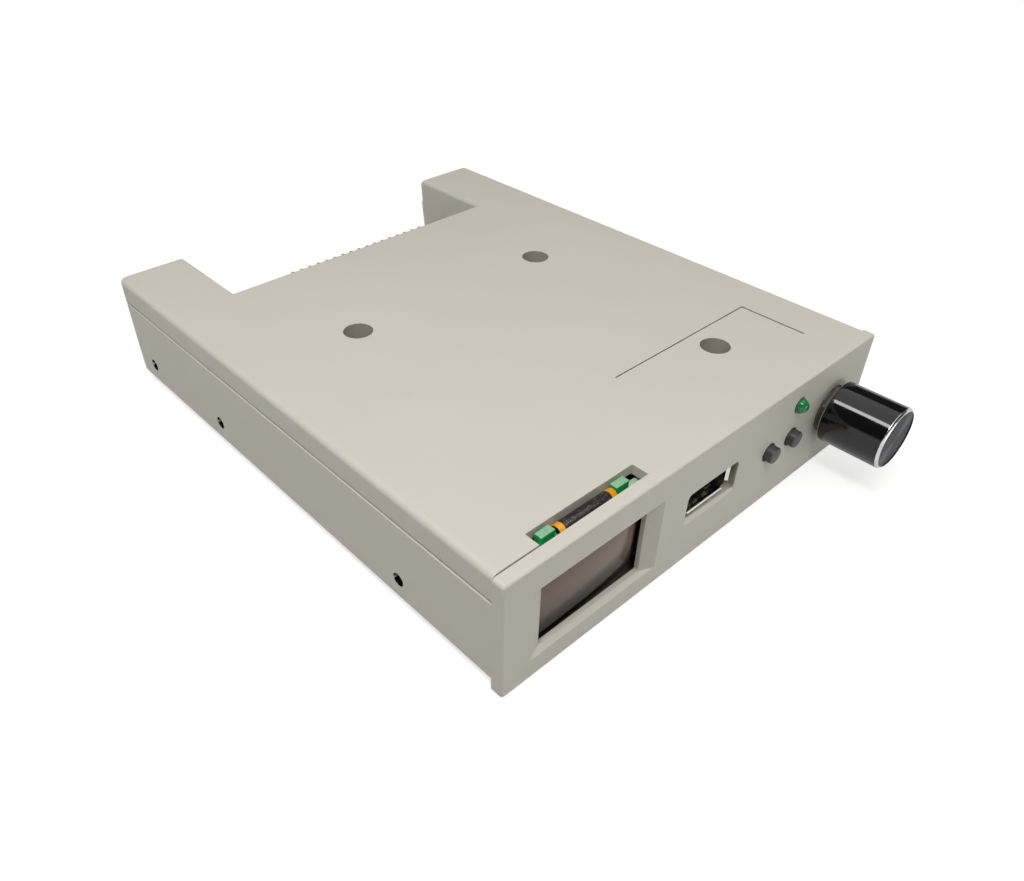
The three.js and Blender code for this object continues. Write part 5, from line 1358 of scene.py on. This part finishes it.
@dataclass
class Socket:
    """USB-A socket: folded shell with flared sides and springs, tongue and contacts."""

    finishes: Finishes
    centre_z: float = 13.26
    width: float = 13.1
    height: float = 5.72
    wall: float = 0.3
    front: float = 1.05
    rear: float = 14.45
    corner: float = 0.55
    corner_steps: int = 6
    flare: float = 0.5
    side_lip: Pair = (11.5, 15.0)
    long_lip: float = 5.1
    side_lean: float = 0.45
    low_lean: float = 0.27
    high_lean: float = 0.22
    steep: float = 0.16
    smooth: float = 40.0
    leg_front: float = 5.74
    leg_width: float = 2.0
    leg_bottom: float = 6.85
    tongue_bottom: float = 13.56
    contact_front: float = 3.05
    contact_rear: float = 10.85
    contact_width: float = 1.0
    contact_sheet: float = 0.2
    contact_drop: float = 0.22
    contact_places: tuple[float, ...] = (-3.5, -1.0, 1.0, 3.5)
    dip: float = 0.45
    dip_length: float = 1.6
    dip_steps: int = 8
    spring_x: float = 3.4
    spring_width: float = 1.8
    spring_front: float = 3.0
    spring_length: float = 5.0
    spring_rise: float = 0.4
    spring_sheet: float = 0.15
    spring_bend: tuple[Pair, ...] = (
        (0.0, 0.0), (0.25, 0.3), (0.6, 0.9), (0.75, 1.0), (0.9, 0.7), (1.0, 0.45),
    )

    def build(self) -> None:
        """Builds the shell and the contacts, and dresses the insulator."""
        shape = Shape()
        mouth = self.front + self.flare
        outside = [self.loop(y, 0.0) for y in (mouth, self.rear)]
        inside = [self.loop(y, self.wall) for y in (self.rear, mouth)]
        shape.loft([*outside, *inside], caps=False)
        self.lips(shape)
        for side in (-1, 1):
            walls = sorted((side * self.width / 2, side * (self.width / 2 - self.wall)))
            shape.box(
                (walls[0], self.leg_front, self.leg_bottom),
                (walls[1], self.leg_front + self.leg_width, self.centre_z),
            )
        reach = self.height / 2 - self.wall
        for x in (-self.spring_x, self.spring_x):
            for up in (1, -1):
                path = []
                for along, rise in self.spring_bend:
                    low = self.centre_z - up * reach + up * rise * self.spring_rise
                    y = self.spring_front + along * self.spring_length
                    path.append((y, low, low + up * self.spring_sheet))
                shape.strip(x, self.spring_width, path)
        piece = shape.piece("socket_shell", [self.finishes.nickel], self.smooth)
        seat(piece, Body.HOUSING, Slot.STEEL, "usb_shell")
        self.contacts()
        dress(self.finishes.black, "usb_insulator")

    def loop(self, y: float, inset: float) -> list[Vector]:
        """Gives the shell's rounded outline at a place along Y, or one inside it.

        Args:
            y: Its place along Y.
            inset: How far inside the shell's outer face it runs.

        Returns:
            The points, in metres.
        """
        radius = self.corner - inset
        half_width = self.width / 2 - inset - radius
        half_height = self.height / 2 - inset - radius
        points = []
        for corner, (across, up) in enumerate(((1, 1), (-1, 1), (-1, -1), (1, -1))):
            for turn in quarter(self.corner_steps):
                angle = math.pi / 2 * corner + turn
                x = across * half_width + radius * math.cos(angle)
                z = self.centre_z + up * half_height + radius * math.sin(angle)
                points.append(spot(x, y, z))
        return points

    def lips(self, shape: Shape) -> None:
        """Adds the four flared lips of the mouth, which stop short of its corners.

        Args:
            shape: The mesh that gets them.
        """
        low, high = self.side_lip
        half = self.long_lip
        for side, long_lean in ((-1, self.low_lean), (1, self.high_lean)):
            rings = []
            for y, lean in self.lip_path(self.side_lean, self.flare):
                outer = side * (self.width / 2 + lean)
                inner = outer - side * self.wall
                corners = [(outer, low), (outer, high), (inner, high), (inner, low)]
                rings.append([spot(x, y, z) for x, z in corners])
            shape.loft(rings)
            rings = []
            for y, lean in self.lip_path(long_lean, self.steep):
                outer = self.centre_z + side * (self.height / 2 + lean)
                inner = outer - side * self.wall
                corners = [(-half, outer), (half, outer), (half, inner), (-half, inner)]
                rings.append([spot(x, y, z) for x, z in corners])
            shape.loft(rings)

    def lip_path(self, lean: float, depth: float) -> list[Pair]:
        """Gives a lip's places along Y, and how far out it leans at each."""
        root = self.front + self.flare + self.wall
        return [(self.front, lean), (self.front + depth, 0.0), (root, 0.0)]

    def contacts(self) -> None:
        """Builds the row of gold contacts under the tongue, each with a rounded dip."""
        path = []
        for step in range(self.dip_steps + 1):
            share = step / self.dip_steps
            low = self.tongue_bottom - self.contact_drop - math.sin(math.pi * share) * self.dip
            path.append((self.contact_front + self.dip_length * share, low))
        path.append((self.contact_rear, self.tongue_bottom - self.contact_drop))
        faces = [(y, low, low + self.contact_sheet) for y, low in path]
        shape = Shape()
        for x in self.contact_places:
            shape.strip(x, self.contact_width, faces)
        piece = shape.piece("socket_contacts", [self.finishes.gold], self.smooth)
        seat(piece, Body.HOUSING, Slot.BRASS)


@dataclass
class Display:
    """Display module: bare-edged board, bonded glass, film, header, plug and ribbon."""

    finishes: Finishes
    edge: float = 0.05
    sharp: float = 38.0
    smooth: float = 30.0

    def build(self) -> None:
        """Softens the board, the glass and the film, and dresses the rest."""
        for name, node, finish, slot in (
            ("display_carrier", "display_board", self.finishes.display_board, Slot.DISPLAY_BOARD),
            ("display_window_glass", "display_glass", self.finishes.glass, Slot.GLASS),
            ("display_film", "display_flex", self.finishes.film, Slot.FILM),
        ):
            shape = cad_shape(node)
            shape.soften(self.edge, self.sharp)
            piece = shape.piece(name, [finish], self.smooth, outward=False)
            seat(piece, Body.HOUSING, slot, node)
        dress(self.finishes.black, "display_header", "display_plug")
        dress(self.finishes.wire, "display_ribbon")


@dataclass
class Encoder:
    """Rotary encoder behind the bezel."""

    finishes: Finishes

    def build(self) -> None:
        """Dresses the encoder's parts."""
        dress(self.finishes.steel, "encoder_frame", "detent_spring")
        # The nut and washer's dark grey doubles as painted shade behind the knob.
        dress(self.finishes.dull_nickel_shade, "encoder_washer", "encoder_nut")
        dress(self.finishes.black, "encoder_housing", "encoder_switch")
        dress(self.finishes.white, "encoder_plunger", "encoder_rotor")
        dress(self.finishes.wire, "encoder_ribbon")


@dataclass
class RearConnectors:
    """Pin headers and the power connector in the rear notch."""

    finishes: Finishes
    board_top: float = 9.65
    pitch: float = 2.54
    columns: int = 17
    left: float = -10.39
    front: float = 113.2
    depth: float = 2.5
    height: float = 5.08
    pin: float = 0.64
    pin_tip: float = 121.9
    point: float = 0.5
    point_share: float = 0.55
    leg_start: float = 111.0
    row_low: float = 1.27

    def build(self) -> None:
        """Builds the drive cable's header and dresses the others."""
        block = Shape()
        block.box(
            (self.left, self.front, self.board_top),
            (self.left + self.pitch, self.front + self.depth, self.board_top + self.height),
        )
        self.repeat("header_base", block, self.finishes.black, Slot.BLACK)
        self.repeat("header_pins_low", self.pin_shape(0), self.finishes.tin, Slot.BRASS)
        self.repeat("header_pins_high", self.pin_shape(1), self.finishes.tin, Slot.BRASS)
        dress(self.finishes.white, "power_connector")
        dress(self.finishes.black, "jumper_header", "jumper_cap")

    def repeat(self, name: str, shape: Shape, finish: Finish, slot: Slot) -> None:
        """Repeats a part of the header at each of its columns, and seats it."""
        piece = RowTree().repeat(name, shape, self.columns, self.pitch, finish)
        seat(piece, Body.HOUSING, slot, "floppy_header")

    def pin_shape(self, row: int) -> Shape:
        """Builds the first pin of a row: up from the board, then level to the rear.

        Args:
            row: 0 for the lower row, 1 for the upper one.

        Returns:
            The pin.
        """
        half = self.pin / 2
        x = self.left + self.pitch / 2
        z = self.board_top + self.row_low + row * self.pitch
        leg_y = self.leg_start + (1 - row) * self.pitch / 2 + half
        path = [
            (leg_y, self.board_top, half, 1, 0),
            (leg_y, z, half, 1, 1),
            (self.pin_tip - self.point, z, half, 0, 1),
            (self.pin_tip, z, half * self.point_share, 0, 1),
        ]
        square = [(-1, -1), (1, -1), (1, 1), (-1, 1)]
        rings = []
        for y, height, size, leg, level in path:
            corners = [(a * size, b * size) for a, b in square]
            rings.append([spot(x + a, y - leg * b, height + level * b) for a, b in corners])
        shape = Shape()
        shape.loft(rings)
        return shape


@dataclass
class Boards:
    """Main board with its parts, and the screws that hold it and the cover."""

    finishes: Finishes

    def build(self) -> None:
        """Dresses the board and what stands on it."""
        dress(self.finishes.board, "main_pcb")
        dress(
            self.finishes.black,
            "microcontroller",
            "voltage_regulator",
            "line_driver_left",
            "line_driver_right",
            "resistor_pack_left",
            "resistor_pack_right",
        )
        dress(self.finishes.steel, "crystal")
        dress(self.finishes.can, "capacitor_input", "capacitor_output")
        screws = [f"{kind}_screw_{place}" for kind in ("cover", "board") for place in (1, 2, 3)]
        dress(self.finishes.steel, *screws)


@dataclass(frozen=True)
class Softbox:
    """A flat rectangular lamp, in metres, that looks down unless it is tilted and turned."""

    name: str
    place: Point
    width: float
    depth: float
    radiance: float
    tilt: float = 0.0
    turn: float = 0.0

    def hang(self) -> None:
        """Hangs the lamp, with the power that gives its radiance."""
        data = bpy.data.lights.new(self.name, "AREA")
        data.shape = "RECTANGLE"
        data.size = self.width
        data.size_y = self.depth
        data.energy = self.radiance * math.pi * self.width * self.depth
        lamp = bpy.data.objects.new(self.name, data)
        lamp.location = self.place
        lamp.rotation_euler = (math.radians(self.tilt), 0.0, math.radians(self.turn))
        lamp.visible_camera = False
        bpy.context.scene.collection.objects.link(lamp)


@dataclass
class Studio:
    """Pale floor, soft lamps, a white backdrop under a dim ceiling, and the camera."""

    camera_place: Point = (-0.106973, -0.112676, 0.112744)
    camera_turn: Point = (50.6364, -0.1089, -42.3316)
    lens: float = 30.223
    sensor: float = 36.0
    shift_x: float = 0.02534
    shift_y: float = 0.0274
    nearest: float = 0.005
    fill: float = 0.1
    ceiling: float = 0.06
    backdrop_rise: Pair = (0.1, 0.2)
    floor_size: float = 6.0
    # Paper of the floor, plain and matt.
    paper: Finish = WhitePaper("matt_white_paper", "a4a4a2", 0.9)
    lamps: tuple[Softbox, ...] = (
        Softbox("overhead_softbox", (0.116, -0.125, 0.45), 0.5, 0.45, 1.2),
        Softbox("strip_lamp", (-0.185, -0.14, 0.45), 0.1, 0.5, 12.5),
        Softbox("front_softbox", (0.06, -0.28, 0.03), 0.16, 0.05, 2.6, tilt=88.0, turn=20.0),
        Softbox("catch_lamp", (0.125, -0.33, 0.036), 0.02, 0.02, 40.0, tilt=90.0, turn=20.0),
        Softbox("side_softbox", (-0.36, 0.3, 0.16), 0.16, 0.16, 2.4, tilt=72.0, turn=-125.0),
    )

    def build(self) -> None:
        """Builds the whole studio."""
        self.camera()
        self.floor()
        self.surroundings()
        for lamp in self.lamps:
            lamp.hang()

    def camera(self) -> None:
        """Places the camera as the photograph's was."""
        data = bpy.data.cameras.new("photo_camera")
        data.lens = self.lens
        data.sensor_width = self.sensor
        data.shift_x = self.shift_x
        data.shift_y = self.shift_y
        data.clip_start = self.nearest
        camera = bpy.data.objects.new("photo_camera", data)
        camera.location = self.camera_place
        camera.rotation_euler = [math.radians(angle) for angle in self.camera_turn]
        bpy.context.scene.collection.objects.link(camera)
        bpy.context.scene.camera = camera

    def floor(self) -> None:
        """Lays the paper floor."""
        shape = Shape()
        half = self.floor_size / 2
        corners = [(-half, -half), (half, -half), (half, half), (-half, half)]
        shape.mesh.faces.new([shape.mesh.verts.new((x, y, 0.0)) for x, y in corners])
        floor = shape.piece("floor", [self.paper], outward=False)

    def surroundings(self) -> None:
        """Surrounds the scene with even light: a white backdrop below, a dim ceiling above."""
        world = bpy.data.worlds.new("studio")
        world.use_nodes = True
        tree = world.node_tree
        tree.nodes.clear()
        camera, mirrored = looking(tree)
        direction = add_node(tree, "ShaderNodeTexCoord").outputs["Generated"]
        height = add_node(tree, "ShaderNodeSeparateXYZ", {"Vector": direction}).outputs["Z"]
        low, high = self.backdrop_rise
        rise: Inputs = {"Value": height, "From Min": low, "From Max": high, "To Min": 1.0}
        wall = add_node(tree, "ShaderNodeMapRange", {**rise, "To Max": self.ceiling})
        unseen = add_node(tree, "ShaderNodeMix", {0: mirrored, 2: self.fill, 3: wall})
        strength = add_node(tree, "ShaderNodeMix", {0: camera, 2: unseen, 3: 1.0})
        light: Inputs = {"Color": (1.0, 1.0, 1.0, 1.0), "Strength": strength}
        shader = add_node(tree, "ShaderNodeBackground", light)
        add_node(tree, "ShaderNodeOutputWorld", {"Surface": shader})
        bpy.context.scene.world = world


def main() -> None:
    """Builds the drive's looks and the studio round it."""
    logging.basicConfig(level=logging.INFO, format="%(message)s")
    bpy.context.scene.view_settings.view_transform = "Standard"
    Studio().build()
    finishes = Finishes()
    parts = [CaseShells, Display, Socket, Buttons, Lamp, Knob, Encoder, RearConnectors, Boards]
    for part in parts:
        part(finishes).build()
    bpy.context.view_layer.update()


if __name__ == "__main__":
    main()
